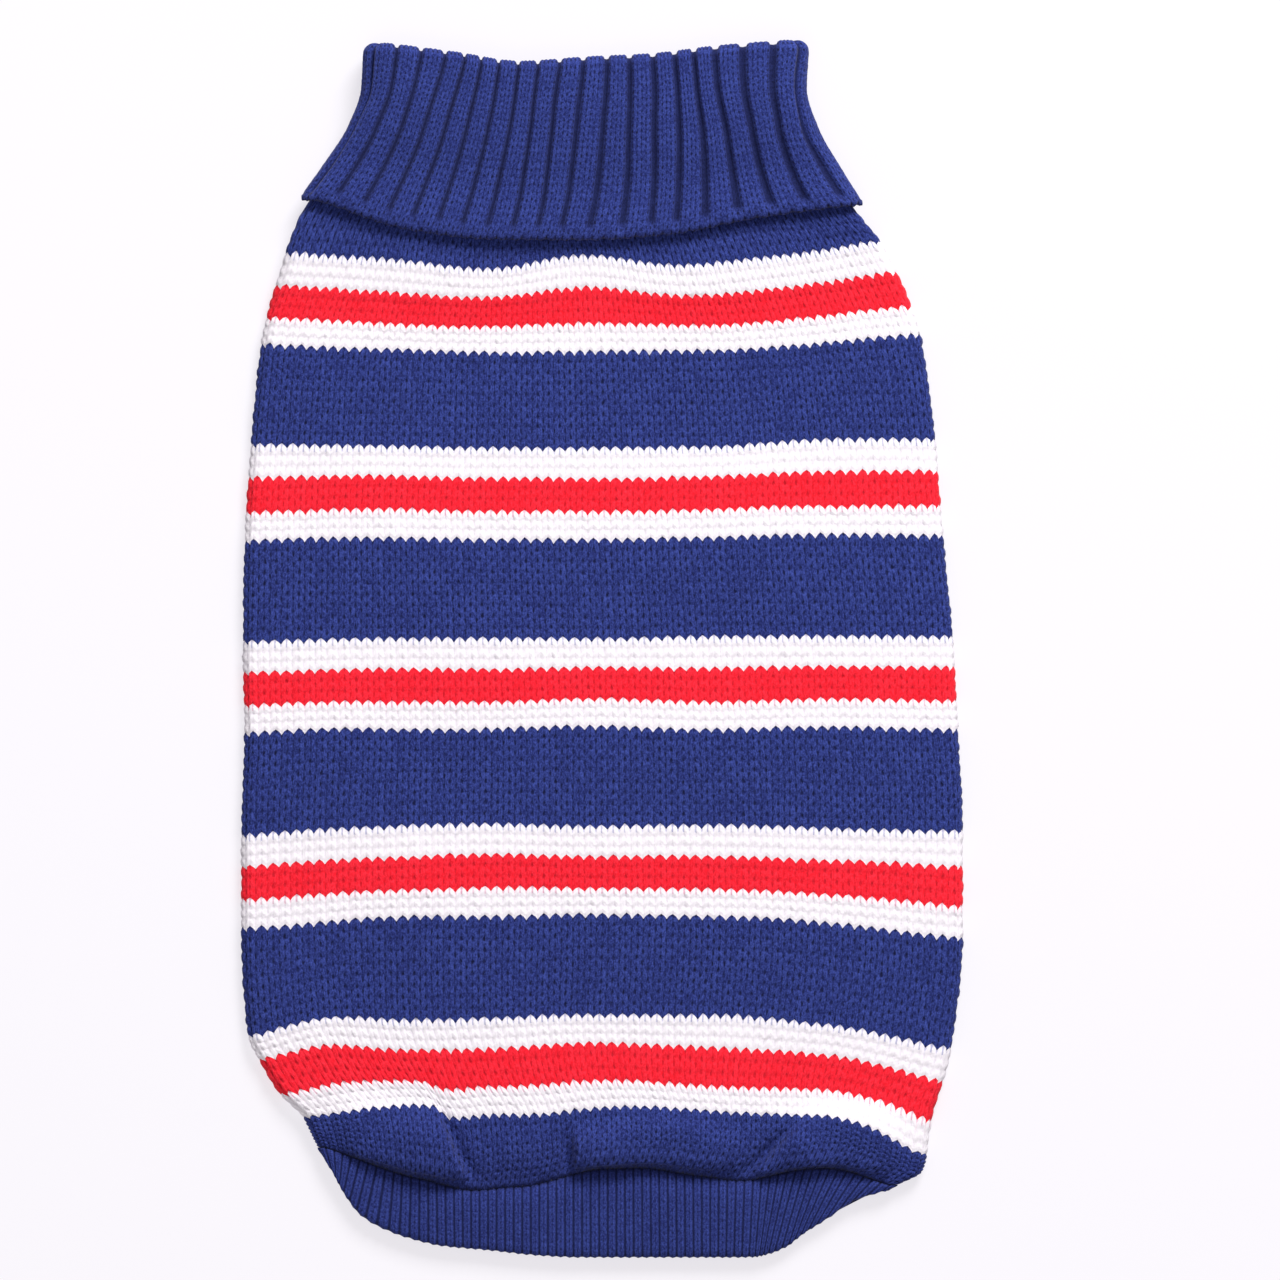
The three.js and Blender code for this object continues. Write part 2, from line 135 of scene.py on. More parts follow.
# Collar lines: place from its free edge, 0, to its fold, 1, outlines, y at the seven steps, height, and
# how far its underside sags towards the hem
COLLAR_LINES = np.array([
    (0, -92.5, 80.2, 137.2, 128.5, 125.5, 125.3, 127, 132, 135.6, 12.8, 0),
    (0.25, -84, 72.6, 149, 143.5, 139.5, 139.5, 140.5, 144.5, 147.3, 12.4, 0),
    (0.5, -76.7, 65.4, 160.5, 156, 153.5, 153, 154, 157, 160, 14, 3),
    (0.75, -73, 62, 172.5, 169.3, 166.3, 166.3, 167.5, 170.5, 173, 15, 6),
    (1, -72.4, 62.5, 184.8, 182.2, 179.4, 180.7, 181.7, 184.1, 185.7, 15.2, 6.5),
])
# How steeply the ends of its free edge rise outwards, and the share of the flap that rises so
COLLAR_TILT = 0.12
TILT_REACH = 0.05
# Grooves between the collar's ribs on its top, from the one at its left side to the one at its right:
# place from the free edge, x at seven equal steps of rib number
COLLAR_GROOVES = np.array([
    (0, -91.2, -65.2, -41.3, -17.3, 11.6, 39.6, 75.3),
    (0.25, -82, -59.1, -37.1, -13.7, 12.5, 38.4, 67.8),
    (0.5, -75, -54.2, -33.8, -12.2, 13.4, 37, 61.4),
    (0.75, -70.7, -50.3, -31.5, -11.3, 13.9, 34.9, 59.5),
    (1, -70.1, -47.4, -29.4, -9.6, 13.3, 33.7, 60.9),
])
# Hem band's free edge: x where a rib leaves the seam, x and y where it ends. The outermost ribs are short
HEM_EDGE = np.array([
    (-84.6, -82.5, -160),
    (-77.1, -79.3, -166),
    (-70.1, -73.8, -173.2),
    (-63.6, -65.2, -178),
    (-57.4, -57.8, -180.5),
    (-49.2, -49, -182.5),
    (-35, -35, -183.8),
    (-19.6, -19.6, -185.4),
    (-6.4, -6.4, -186),
    (40, 39.5, -186),
    (48.1, 46.4, -185.9),
    (56.2, 50.6, -185.1),
    (63.9, 56.6, -182.7),
    (70.6, 61.5, -178.9),
    (78, 69, -174.2),
    (83.5, 78, -168.2),
    (88.1, 85.6, -166),
])
# How steeply its ends rise outwards round the two folds
HEM_TILT = (1.6, 0.25)
# Hem heights above the floor: place from its seam, 0, to its free edge, 1, side folds, middle
HEM_HEIGHTS = np.array([
    (0, 4.8, 4.8),
    (0.3, 5.2, 5.8),
    (1, 4.8, 5.2),
])
# How deep the band lies under the body's roll at its seam
HEM_DIP = 0.4

# Belly panel and leg openings
BELLY_FROM = 0.17
BELLY_TO = 0.83
LEG_APART = 84
LEG_CENTRE = (-2.7, 58)
LEG_HALF = (23, 32)
LEG_BAND_WIDTH = 9

# Stitches: a wale is a column of them and a course is a row
BODY_WALES = {"under": 10, "side": 2.5, "top": 60, "belly": 42}
LAST_COURSE = 95
FIRST_STRIPE = 6
STRIPE_COURSES = 3
STRIPE_REPEAT = 18
# How many courses further the end of the red lies
RED_STRETCH = 0.3
HIDDEN_COURSES = 3
ROWS_PER_COURSE = 3
# The collar's stand, inside its flap, is knitted more coarsely
STAND_ROWS = 2
COLLAR_RIBS = {"top": 19, "under": 23}
HEM_RIBS = {"side": 3, "top": 66, "under": 66}
LEG_RIBS = 70
COLLAR_COURSES = {"flap": 24, "fold": 4, "stand": 17}
HEM_COURSES = 11
LEG_COURSES = 4
LEG_ROWS = 12

# One stockinette stitch: place across it, lean of its leg at each of the three rows of a course, how far
# its course arches there, and how high it stands at each of the three rows
STITCH = np.array([
    (0.00, 0.00, 0.00, 0.00, 0.28, -0.85, -0.40, -0.30),
    (0.25, -0.04, 0.00, 0.04, -0.02, 0.00, 0.34, 0.28),
    (0.50, 0.00, 0.00, 0.00, -0.25, -0.60, -0.10, -0.06),
    (0.75, 0.04, 0.00, -0.04, -0.02, 0.00, 0.34, 0.28),
])
# One collar rib, two wales of knit between purl furrows: place, wale, arch, height of the rib, depth of
# the stitches
COLLAR_RIB = np.array([
    (0.00, 0.00, 0.00, -0.95, 0.00),
    (0.055, 0.24, 0.00, -0.75, 0.10),
    (0.10, 0.45, 0.05, 0.20, 0.20),
    (0.20, 0.72, 0.05, 0.80, 0.15),
    (0.31, 1.00, -0.15, 0.60, 0.60),
    (0.41, 1.25, 0.05, 0.90, 0.15),
    (0.50, 1.50, 0.15, 0.52, 0.70),
    (0.59, 1.75, 0.05, 0.90, 0.15),
    (0.69, 2.00, -0.15, 0.60, 0.60),
    (0.80, 2.28, 0.05, 0.80, 0.15),
    (0.90, 2.55, 0.05, 0.20, 0.20),
    (0.945, 2.76, 0.00, -0.75, 0.10),
])
# Half the width of a furrow, as a share of a rib, at the collar's left and at its right, and the two ribs
# between which it widens
FURROW_HALF = (0.055, 0.105)
FURROW_WIDENS = (6, 16)
# One hem rib, a wale of knit between purl furrows
HEM_RIB = np.array([
    (0.00, 0.00, 0.00, -0.62, 0.00),
    (0.28, 0.60, 0.00, 0.34, 0.15),
    (0.50, 1.00, -0.20, 0.12, 0.60),
    (0.72, 1.40, 0.00, 0.34, 0.15),
])
# How deep the stitches of a rib dip at each of the three rows of a course
COURSE_DIP = np.array([1.0, 0.25, 0.0])
# Heights of the ribs that the two tables above are set for
COLLAR_RIB_HEIGHT = 0.9 * MM
HEM_RIB_HEIGHT = 0.5 * MM

# Unevenness of the body's stitches: size and length of the waves that run through courses and wales, how
# far each stitch shifts and leans by itself, and how its height varies, as a share and in millimetres
COURSE_WAVES = (0.10, 17)
WALE_WAVES = (0.07, 23)
STITCH_SHIFT = 0.03
STITCH_LEAN = 0.02
STITCH_HEIGHTS = (0.12, 0.05)
# Unevenness of the ribs: size and length of the waves in the collar's, and how their stitches vary
RIB_WAVES = (0.07, 12)
RIB_DIP = 0.34
RIB_HEIGHTS = (0.3, 0.03)
# Unevenness of the back as it lies: height and length of its waves, and how close to each side fold they
# fade out, as a share of the width
LIE_WAVES = (0.25, 70)
SIDE_FADE = 0.07

# How the edges of each piece round inwards: over how many rows, and how far at its first and last row
BODY_TUCK = (3, 0.9, 0.6)
COLLAR_TUCK = (3, 1.0, 0.8)
HEM_TUCK = (3, 0.5, 0.9)
LEG_TUCK = (2, 0.7, 0.7)
# The inner wall has a point at every how many rows and columns of the stitches
BACK_STRIDES = (9, 5)
PUFF_STRIDE = 3
BELLY_STRIDES = (9, 8)
COLLAR_STRIDES = (6, 12)
HEM_STRIDES = (6, 8)
# Stitches on the underside go inwards by this share of their height, and so lie on the surface
UNDER_SINK = 0.4
# The roll of the puffs over the hem seam: from which height and up to how much it counts, its share of
# that height, its course and reach, and how far single stitches stand out, at which course and reach
ROLL_FROM = 6
ROLL_MOST = 5
ROLL_SHARE = 0.5
ROLL_COURSES = (93.6, 1.2)
ROLL_STITCH = 0.4
ROLL_STITCH_COURSES = (94.2, 0.5)
# The collar's free edge: reach in courses and height of its cast-off rim, size and reach of its loops
CAST_OFF_REACH = 1.3
CAST_OFF_HEIGHT = 0.45
LOOP_SIZE = 0.5
LOOP_REACH = 0.8
# Share of their height that the collar's ribs lose over its fold
FOLD_FLATTENS = 0.55
# The hem's free edge: how far its loops stand out, and over how many courses
HEM_LOOP = 0.3
HEM_LOOP_REACH = 0.5
# How far the hem's ribs go inwards on the underside, where they lie on the surface
HEM_SINK = 0.45
# A leg band's ribs go inwards by this much on the underside, leave at least this much cloth, and show on
# the other side by this share and at most this much
LEG_SINK = 0.4
LEG_THINNEST = 0.6
LEG_SHOWS = 0.5
LEG_SHOWS_MOST = 0.8
# How much a yarn's tone changes from patch to patch and from stitch to stitch
TONE_CHANGE = 0.06
# Added before a course is cut to a whole number, so that rounding doesn't make it one too few
ROUNDING = 1e-6


def linear_colour(hex_code):
    """An sRGB hex colour as the linear colour that Blender works in."""
    channels = [int(hex_code[i:i + 2], 16) / 255 for i in (1, 3, 5)]
    return tuple(c / 12.92 if c <= 0.04045 else ((c + 0.055) / 1.055) ** 2.4 for c in channels)


def curve_through(keys, values):
    """A smooth curve through a table that never passes its own points.

    values has an entry for each key: a number, or a grid of the shape that the curve is read at.
    """
    keys = np.asarray(keys, float)
    values = np.asarray(values, float)
    if values.ndim == 1:
        values = values[:, None, None]
    steps = np.diff(keys)
    slopes = np.diff(values, axis=0) / steps[:, None, None]
    before, after = slopes[:-1], slopes[1:]
    product = before * after
    both = np.where(product > 0, before + after, 1)
    inner = np.where(product > 0, 2 * product / both, 0)
    tangents = np.concatenate([slopes[:1], inner, slopes[-1:]])

    def read(at):
        at = np.asarray(at, float)
        piece = np.clip(np.searchsorted(keys, at, side="right") - 1, 0, len(keys) - 2)
        step = steps[piece]
        t = np.clip((at - keys[piece]) / step, 0, 1)
        rest = 1 - t

        def pick(rows, offset):
            wide = np.broadcast_to(rows, (len(keys), *at.shape))
            return np.take_along_axis(wide, (piece + offset)[None], axis=0)[0]

        return (
            (1 + 2 * t) * rest * rest * pick(values, 0)
            + t * rest * rest * step * pick(tangents, 0)
            + t * t * (3 - 2 * t) * pick(values, 1)
            - t * t * rest * step * pick(tangents, 1)
        )

    return read


def smooth_step(value, start, end):
    """A soft step from 0 to 1 as a value goes from start to end."""
    t = np.clip((value - start) / (end - start), 0, 1)
    return t * t * (3 - 2 * t)


def soft_noise(x, y, wavelength, seed):
    """Gentle unevenness, about -1 to 1: a few sine waves that run in seeded directions."""
    dice = np.random.default_rng(seed)
    waves = 7
    total = 0
    for _ in range(waves):
        angle = dice.uniform(0, 2 * math.pi)
        length = wavelength * dice.uniform(0.6, 1.6)
        phase = dice.uniform(0, 2 * math.pi)
        along = x * math.cos(angle) + y * math.sin(angle)
        total = total + np.sin(2 * math.pi * along / length + phase)
    return total / math.sqrt(2 * waves)


def lines_across(rows, first_column, at):
    """The seven steps of each line of a table, read across at a grid of places: one grid for each line."""
    steps = rows[:, first_column:first_column + len(STATIONS)]
    return np.stack([curve_through(STATIONS, line)(at) for line in steps])


def tube_points(line, part, at, depth):
    """Points of a flattened tube, in millimetres.

    line holds grids for the tube's outlines, its underside, its side folds and its places along the
    garment at both sides and across the top. It may also say how far the underside sags, how steeply the
    ends rise outwards and how the columns spread across. part names each column's place in the ring, and
    at says how far along it a point is: up the left fold, across the top, down the right fold, and across
    the underside from the left. depth is measured inwards.
    """
    radius = (line["edge"] - line["floor"]) / 2
    flat_left = line["left"] + radius
    flat_right = line["right"] - radius
    middle = line["floor"] + radius
    reach = radius - depth
    turn = np.pi * at
    across = line["spread"](at) if "spread" in line else at
    x_flat = flat_left + (flat_right - flat_left) * across
    y_straight = line["y_left"] + (line["y_right"] - line["y_left"]) * across
    y_under = line.get("y_under", y_straight) - 4 * line.get("sag", 0) * at * (1 - at)
    outwards = reach * np.sin(turn)
    tilt_left, tilt_right = line.get("tilt", (0, 0))
    y_left = line["y_left"] + tilt_left * outwards
    y_right = line["y_right"] + tilt_right * outwards
    part = np.broadcast_to(part, at.shape)
    choose = [part == LEFT, part == RIGHT, part == TOP, part == UNDER]
    x = np.select(choose, [flat_left - outwards, flat_right + outwards, x_flat, x_flat])
    y = np.select(choose, [y_left, y_right, line["y_top"], y_under])
    z = np.select(choose, [
        middle - reach * np.cos(turn),
        middle + reach * np.cos(turn),
        line["top"](x, y, at) - depth,
        line["floor"] + depth,
    ])
    return np.stack([x, y, z], axis=-1)


def collar_line(at_line, across):
    """The collar's line at a grid of places from its free edge to its fold and across its top."""
    keys = COLLAR_LINES[:, 0]
    left, right, rise, sag = (curve_through(keys, COLLAR_LINES[:, i])(at_line) for i in (1, 2, 10, 11))
    drop = FOLD_RADIUS * smooth_step(at_line, 0.5, 1)
    y_top = curve_through(keys, lines_across(COLLAR_LINES, 3, across))(at_line) - drop
    tilt = COLLAR_TILT * smooth_step(at_line, TILT_REACH, 0)
    return {
        "left": left,
        "right": right,
        "floor": 0 * rise,
        "edge": rise,
        "y_left": curve_through(keys, COLLAR_LINES[:, 3])(at_line) - drop,
        "y_right": curve_through(keys, COLLAR_LINES[:, 9])(at_line) - drop,
        "y_top": y_top,
        "sag": sag,
        "tilt": (tilt, tilt),
        "top": lambda x, y, at: rise,
    }


def body_tables():
    """The body's tables with the neck seam as their first course, round the end of the collar's stand."""
    at = np.full((1, len(STATIONS)), NECK_SEAM_AT)
    neck = collar_line(at, STATIONS[None, :])
    rise = neck["edge"][0, 0]
    first = [0, neck["left"][0, 0] + STAND_OUTSIDE, neck["right"][0, 0] - STAND_OUTSIDE, *neck["y_top"][0]]
    top = rise - STAND_OUTSIDE
    courses = np.vstack([first, BODY_COURSES])
    heights = np.vstack([[0, STAND_OUTSIDE, top, top], BODY_HEIGHTS])
    return courses, heights


def bump(x, y, centre_x, centre_y, half_length, half_width, angle=0, steepness=1.0):
    """A rise of 1 at a centre, which falls away over an oval."""
    turn = math.radians(angle)
    dx, dy = x - centre_x, y - centre_y
    along = (dx * math.cos(turn) + dy * math.sin(turn)) / half_length
    across = (dy * math.cos(turn) - dx * math.sin(turn)) / half_width
    return np.exp(-(along * along + across * across) ** steepness)


def wave(x, y, centre_x, centre_y, facing, half_length, steep, gentle, rise):
    """A wave of cloth, which falls away slowly before its crest and quickly behind it."""
    turn = math.radians(facing)
    dx, dy = x - centre_x, y - centre_y
    ahead = dx * math.cos(turn) + dy * math.sin(turn)
    beside = (dy * math.cos(turn) - dx * math.sin(turn)) / half_length
    before = np.exp(-(np.maximum(ahead, 0) / gentle) ** 2)
    return rise * smooth_step(ahead, -steep, 0) * before * np.exp(-beside ** 4)


def hem_puff(x, y):
    """How far the puffs, creases and waves above the hem lift the back, in millimetres."""
    puffs = sum(rise * bump(x, y, cx, cy, length, width, angle, steepness)
                for cx, cy, length, width, angle, rise, steepness in HEM_PUFFS)
    return np.maximum(puffs + sum(wave(x, y, *fold) for fold in HEM_FOLDS), DEEPEST_CREASE)


def nudge(x, y):
    """How far the knit is pushed towards the collar, in millimetres."""
    pushed = sum(move * bump(x, y, cx, cy, length, width) for cx, cy, length, width, move in NUDGES)
    return pushed + wave(x, y, *FOLD_SLIP)


def seam_wave(at):
    """How far the hem seam lies towards the collar of its line, in millimetres."""
    return curve_through(np.linspace(0, 1, len(SEAM_WAVE)), SEAM_WAVE)(at)


def crowned(edge, crown, at):
    """Height of a tube's top, which rises from its side folds, at edge, to its middle, at crown."""
    return edge + (crown - edge) * (1 - (2 * at - 1) ** 4)


def body_line(course, across):
    """The body's line at a grid of courses and of places across its top."""
    courses, heights = body_tables()
    keys = courses[:, 0]
    floor, edge, crown = (curve_through(heights[:, 0], heights[:, i])(course) for i in (1, 2, 3))
    left, right, y_left, y_right = (curve_through(keys, courses[:, i])(course) for i in (1, 2, 3, 9))
    seam_fade = smooth_step(LAST_COURSE - course, 0, 2)
    straight = curve_through(keys, lines_across(courses, 3, across))(course)

    def top(x, y, at):
        side_fade = smooth_step(np.minimum(at, 1 - at), 0, SIDE_FADE)
        uneven = LIE_WAVES[0] * soft_noise(x, y, LIE_WAVES[1], seed=3) * side_fade
        return crowned(edge, crown, at) + (hem_puff(x, y) * side_fade + uneven) * seam_fade

    return {
        "left": left,
        "right": right,
        "floor": floor,
        "edge": edge,
        "y_left": y_left,
        "y_right": y_right,
        "y_top": straight + seam_wave(across) * smooth_step(course, SEAM_WAVE_FROM, LAST_COURSE),
        "top": top,
    }


def hem_line(at_line, across):
    """The hem band's line at a grid of places from its seam to its free edge and across its top."""
    _, left, right, *seam_line = BODY_COURSES[-1]
    edge, crown = (curve_through(HEM_HEIGHTS[:, 0], HEM_HEIGHTS[:, i])(at_line) for i in (1, 2))
    radius = edge / 2
    seam_first = left + HEM_HEIGHTS[0, 1] / 2
    seam_last = right - HEM_HEIGHTS[0, 1] / 2
    seam_x = seam_first + (seam_last - seam_first) * across
    seam_y = curve_through(STATIONS, seam_line)(across) + seam_wave(across)
    under_y = seam_line[0] + (seam_line[-1] - seam_line[0]) * across
    edge_x, edge_y = (curve_through(HEM_EDGE[:, 0], HEM_EDGE[:, i])(seam_x) for i in (1, 2))

    def along(start, end):
        return start + (end - start) * at_line

    def top(x, y, at):
        return crowned(edge, crown, at) - dip * smooth_step(at, 0, 0.1)

    first = along(seam_first, HEM_EDGE[0, 1])
    last = along(seam_last, HEM_EDGE[-1, 1])
    dip = HEM_DIP * smooth_step(at_line, 0.2, 0)
    return {
        "left": first - radius,
        "right": last + radius,
        "floor": 0 * edge,
        "edge": edge,
        "y_left": along(seam_line[0], HEM_EDGE[0, 2]),
        "y_right": along(seam_line[-1], HEM_EDGE[-1, 2]),
        "y_top": along(seam_y, edge_y),
        "y_under": along(under_y, edge_y),
        "tilt": (HEM_TILT[0] * at_line, HEM_TILT[1] * at_line),
        "spread": lambda at: (along(seam_x, edge_x) - first) / (last - first),
        "top": top,
    }


def zip_edges(fine, coarse, picks):
    """Triangles that close the strip between a fine edge and a coarse one, which matches it at picks."""
    faces = []
    for j in range(len(picks) - 1):
        start, end = picks[j], picks[j + 1]
        middle = (start + end) // 2
        faces += [(fine[i + 1], fine[i], coarse[j]) for i in range(start, middle)]
        faces.append((fine[middle], coarse[j], coarse[j + 1]))
        faces += [(fine[i + 1], fine[i], coarse[j + 1]) for i in range(middle, end)]
    return faces


def picks_along(count, stride):
    """Places along an edge, a stride apart, that always hold its two ends."""
    picks = list(range(0, count - 1, stride))
    return np.array(picks + [count - 1])


def shell(name, outer, inner, uv, closed, row_slots, row_picks, column_stride):
    """A closed shell: a fine outer grid of stitches and a coarse inner grid, joined all round their edges.

    outer and inner are grids of points in millimetres with the same rows and columns, of which the inner
    wall keeps the picked rows and every column_stride-th column. uv gives each column's wale and each
    row's course, with one wale more than columns where the tube is closed. No stitch reaches below the
    surface that the garment lies on.
    """
    rows, columns = outer.shape[:2]
    outer = np.concatenate([outer[..., :2], np.maximum(outer[..., 2:], 0)], axis=-1)
    steps = columns if closed else columns - 1
    if closed:
        column_picks = np.append(np.arange(0, columns, column_stride), columns)
    else:
        column_picks = picks_along(columns, column_stride)
    coarse = inner[row_picks][:, column_picks % columns]
    if closed:
        coarse = coarse[:, :-1]
    points = np.concatenate([outer.reshape(-1, 3), coarse.reshape(-1, 3)]) * MM
    out = np.arange(rows * columns).reshape(rows, columns)
    into = rows * columns + np.arange(coarse.shape[0] * coarse.shape[1]).reshape(coarse.shape[:2])
    if closed:
        out = np.hstack([out, out[:, :1]])
        into = np.hstack([into, into[:, :1]])
    outside = np.stack([out[:-1, :-1], out[:-1, 1:], out[1:, 1:], out[1:, :-1]], axis=-1)
    inside = np.stack([into[:-1, :-1], into[1:, :-1], into[1:, 1:], into[:-1, 1:]], axis=-1)
    rims = zip_edges(out[0], into[0], column_picks)
    rims += [face[::-1] for face in zip_edges(out[-1], into[-1], column_picks)]
    if not closed:
        rims += [face[::-1] for face in zip_edges(out[:, 0], into[:, 0], row_picks)]
        rims += zip_edges(out[:, -1], into[:, -1], row_picks)
    faces = outside.reshape(-1, 4).tolist() + inside.reshape(-1, 4).tolist()
    faces += [[int(corner) for corner in face] for face in rims]

    mesh = bpy.data.meshes.new(name)
    mesh.from_pydata(points.tolist(), [], faces)
    map_stitches(mesh, uv, (rows, columns, steps), row_picks, column_picks, coarse.shape[1])
    slots = np.zeros(len(mesh.polygons), dtype=np.int32)
    slots[:(rows - 1) * steps] = np.repeat(row_slots, steps)
    inner_slots = row_slots[np.minimum(row_picks[:-1], rows - 2)]
    start = (rows - 1) * steps
    slots[start:start + inside.shape[0] * inside.shape[1]] = np.repeat(inner_slots, inside.shape[1])
    mesh.polygons.foreach_set("material_index", slots)
    mesh.polygons.foreach_set("use_smooth", np.ones(len(mesh.polygons), dtype=bool))
    if signed_volume(mesh) < 0:
        mesh.flip_normals()
    mesh.update()
    piece = bpy.data.objects.new(name, mesh)
    bpy.context.scene.collection.objects.link(piece)
    return piece


def map_stitches(mesh, uv, grid, row_picks, column_picks, coarse_columns):
    """Gives every corner of a shell's faces its wale and course, in the map named stitches.

    The faces of the outer grid come first. The corners of the other faces are told by their points, where
    the coarse grid's follow the outer grid's.
    """
    wales, courses = uv
    rows, columns, steps = grid
    corner_wale = np.stack([wales[:-1], wales[1:], wales[1:], wales[:-1]], axis=-1)
    corner_course = np.stack([courses[:-1], courses[:-1], courses[1:], courses[1:]], axis=-1)
    outer_map = np.empty((rows - 1, steps, 4, 2))
    outer_map[..., 0] = corner_wale[None, :steps]
    outer_map[..., 1] = corner_course[:, None]
    outer_corners = outer_map.size // 2
    rest = np.array([loop.vertex_index for loop in mesh.loops[outer_corners:]])
    is_fine = rest < rows * columns
    fine = np.where(is_fine, rest, 0)
    at_coarse = np.where(is_fine, 0, rest - rows * columns)
    row = np.where(is_fine, fine // columns, row_picks[at_coarse // coarse_columns])
    column = np.where(is_fine, fine % columns, column_picks[at_coarse % coarse_columns])
    coordinates = np.zeros((len(mesh.loops), 2))
    coordinates[:outer_corners] = outer_map.reshape(-1, 2)
    coordinates[outer_corners:, 0] = wales[column]
    coordinates[outer_corners:, 1] = courses[row]
    layer = mesh.uv_layers.new(name="stitches")
    layer.data.foreach_set("uv", coordinates.astype(np.float32).ravel())


def signed_volume(mesh):
    """Six times the volume that the mesh closes, negative if it is inside out."""
    mesh.calc_loop_triangles()
    corners = np.empty(len(mesh.loop_triangles) * 3, dtype=np.int32)
    mesh.loop_triangles.foreach_get("vertices", corners)
    points = np.empty(len(mesh.vertices) * 3)
    mesh.vertices.foreach_get("co", points)
    a, b, c = points.reshape(-1, 3)[corners].reshape(-1, 3, 3).transpose(1, 0, 2)
    return float(np.einsum("ij,ij->", a, np.cross(b, c)))


def edge_tuck(rows, distance, first, last, part, on_sides=0.2):
    """How far the outer surface rounds inwards at its first and last rows, and less so round the folds."""
    steps = np.arange(rows)
    tuck = first * np.clip(1 - steps / distance, 0, 1) ** 2
    tuck = tuck + last * np.clip(1 - (rows - 1 - steps) / distance, 0, 1) ** 2
    share = np.where((part == LEFT) | (part == RIGHT), on_sides, 1.0)
    return tuck[:, None] * share


def stitch_columns(runs):
    """Columns for runs of stockinette. Each run gives its place in the ring and how many wales it has."""
    part, place, wale, kind = [], [], [], []
    start = 0
    for run_part, wales in runs:
        count = round(wales * len(STITCH))
        for k in range(count):
            part.append(run_part)
            place.append(k / count)
            wale.append(start + k / len(STITCH))
            kind.append(round(start * len(STITCH) + k) % len(STITCH))
        start += wales
    part.append(runs[-1][0])
    place.append(1.0)
    wale.append(start)
    kind.append(0)
    return np.array(part), np.array(place), np.array(wale), np.array(kind)


def course_rows():
    """Course numbers of the body's rows, single under the collar and three to a course below it."""
    hidden = np.arange(HIDDEN_COURSES)
    shown = HIDDEN_COURSES + np.arange((LAST_COURSE - HIDDEN_COURSES) * ROWS_PER_COURSE + 1) / ROWS_PER_COURSE
    return np.concatenate([hidden, shown])


def stripe_slots(courses):
    """Yarn of each course: 0 navy, 1 white, 2 red. A stripe is white, red and white."""
    place = (np.floor(courses + ROUNDING) - FIRST_STRIPE) % STRIPE_REPEAT
    slots = np.where(place < 3 * STRIPE_COURSES, 1, 0)
    slots = np.where((place >= STRIPE_COURSES) & (place < 2 * STRIPE_COURSES), 2, slots)
    return np.where(courses < FIRST_STRIPE, 0, slots).astype(np.int32)


def taller_red(course):
    """Courses as they lie: the red courses stand a little taller than the white ones under them."""
    place = np.mod(course - FIRST_STRIPE, STRIPE_REPEAT)
    changes = [0, STRIPE_COURSES, 2 * STRIPE_COURSES, 3 * STRIPE_COURSES, STRIPE_REPEAT]
    moved = np.interp(place, changes, np.add(changes, [0, 0, RED_STRETCH, 0, 0]))
    return np.where(course > FIRST_STRIPE, course - place + moved, course)


def stitch_grids(courses, wale, kind, relief, seed):
    """Course, lean and height of every point of a stockinette grid."""
    phase = np.round((courses % 1) * ROWS_PER_COURSE).astype(int) % ROWS_PER_COURSE
    ends = np.minimum(courses, LAST_COURSE - courses).clip(0, 1)
    arch = STITCH[kind, 4][None, :] * ends[:, None]
    lean = STITCH[kind][:, 1:4].T[phase]
    height = STITCH[kind][:, 5:8].T[phase]
    dice = np.random.default_rng(seed)
    course_index = np.floor(courses + ROUNDING).astype(int)
    half_wale = np.floor(wale * 2 + ROUNDING).astype(int)
    table = dice.normal(size=(course_index.max() + 1, half_wale.max() + 1))
    own = table[course_index][:, half_wale]
    shift = dice.normal(size=table.shape)[course_index][:, half_wale]
    grid_wale, grid_course = np.meshgrid(wale, courses)
    waves = COURSE_WAVES[0] * soft_noise(grid_wale, grid_course, COURSE_WAVES[1], seed + 1)
    course = taller_red(courses)[:, None] + arch + waves + STITCH_SHIFT * shift
    course = np.clip(course, 0, LAST_COURSE)
    course[0], course[-1] = 0, LAST_COURSE
    sway = WALE_WAVES[0] * soft_noise(grid_wale, grid_course, WALE_WAVES[1], seed + 2)
    lean = (lean + STITCH_LEAN * own + sway) * ends[:, None]
    height = (height * (1 + STITCH_HEIGHTS[0] * own) + STITCH_HEIGHTS[1] * own) * relief
    return course, lean, height


def body_grid(runs, relief, seed):
    """The stitches of a stretch of the body.

    Gives each column's place in the ring, how far along it each point is, each column's wale, each row's
    course, the course at which each point lies, and how deep it lies in the cloth.
    """
    part, place, wale, kind = stitch_columns(runs)
    courses = course_rows()
    course, lean, height = stitch_grids(courses, wale, kind, relief, seed)
    wales_of = {run_part: wales for run_part, wales in runs}
    run_wales = np.array([wales_of[p] for p in part])
    along = place[None, :] + lean / run_wales[None, :]
    tuck = edge_tuck(len(courses), *BODY_TUCK, part)
    return part, along, wale, courses, course, tuck - height


def seam_places(line, move):
    """The two belly seams as places along the underside, moved by part of the gap."""
    radius = (line["edge"] - line["floor"]) / 2
    width = line["right"] - line["left"]
    flat = width - 2 * radius
    return (
        (BELLY_FROM * width - radius + move) / flat,
        (BELLY_TO * width - radius - move) / flat,
    )


def move_ends(points, neck_move, hem_move):
    """Moves the first and last rows of a grid, to leave the gaps of the seams."""
    points[0, :, 1] += neck_move
    points[-1, :, 1] += hem_move
    return points


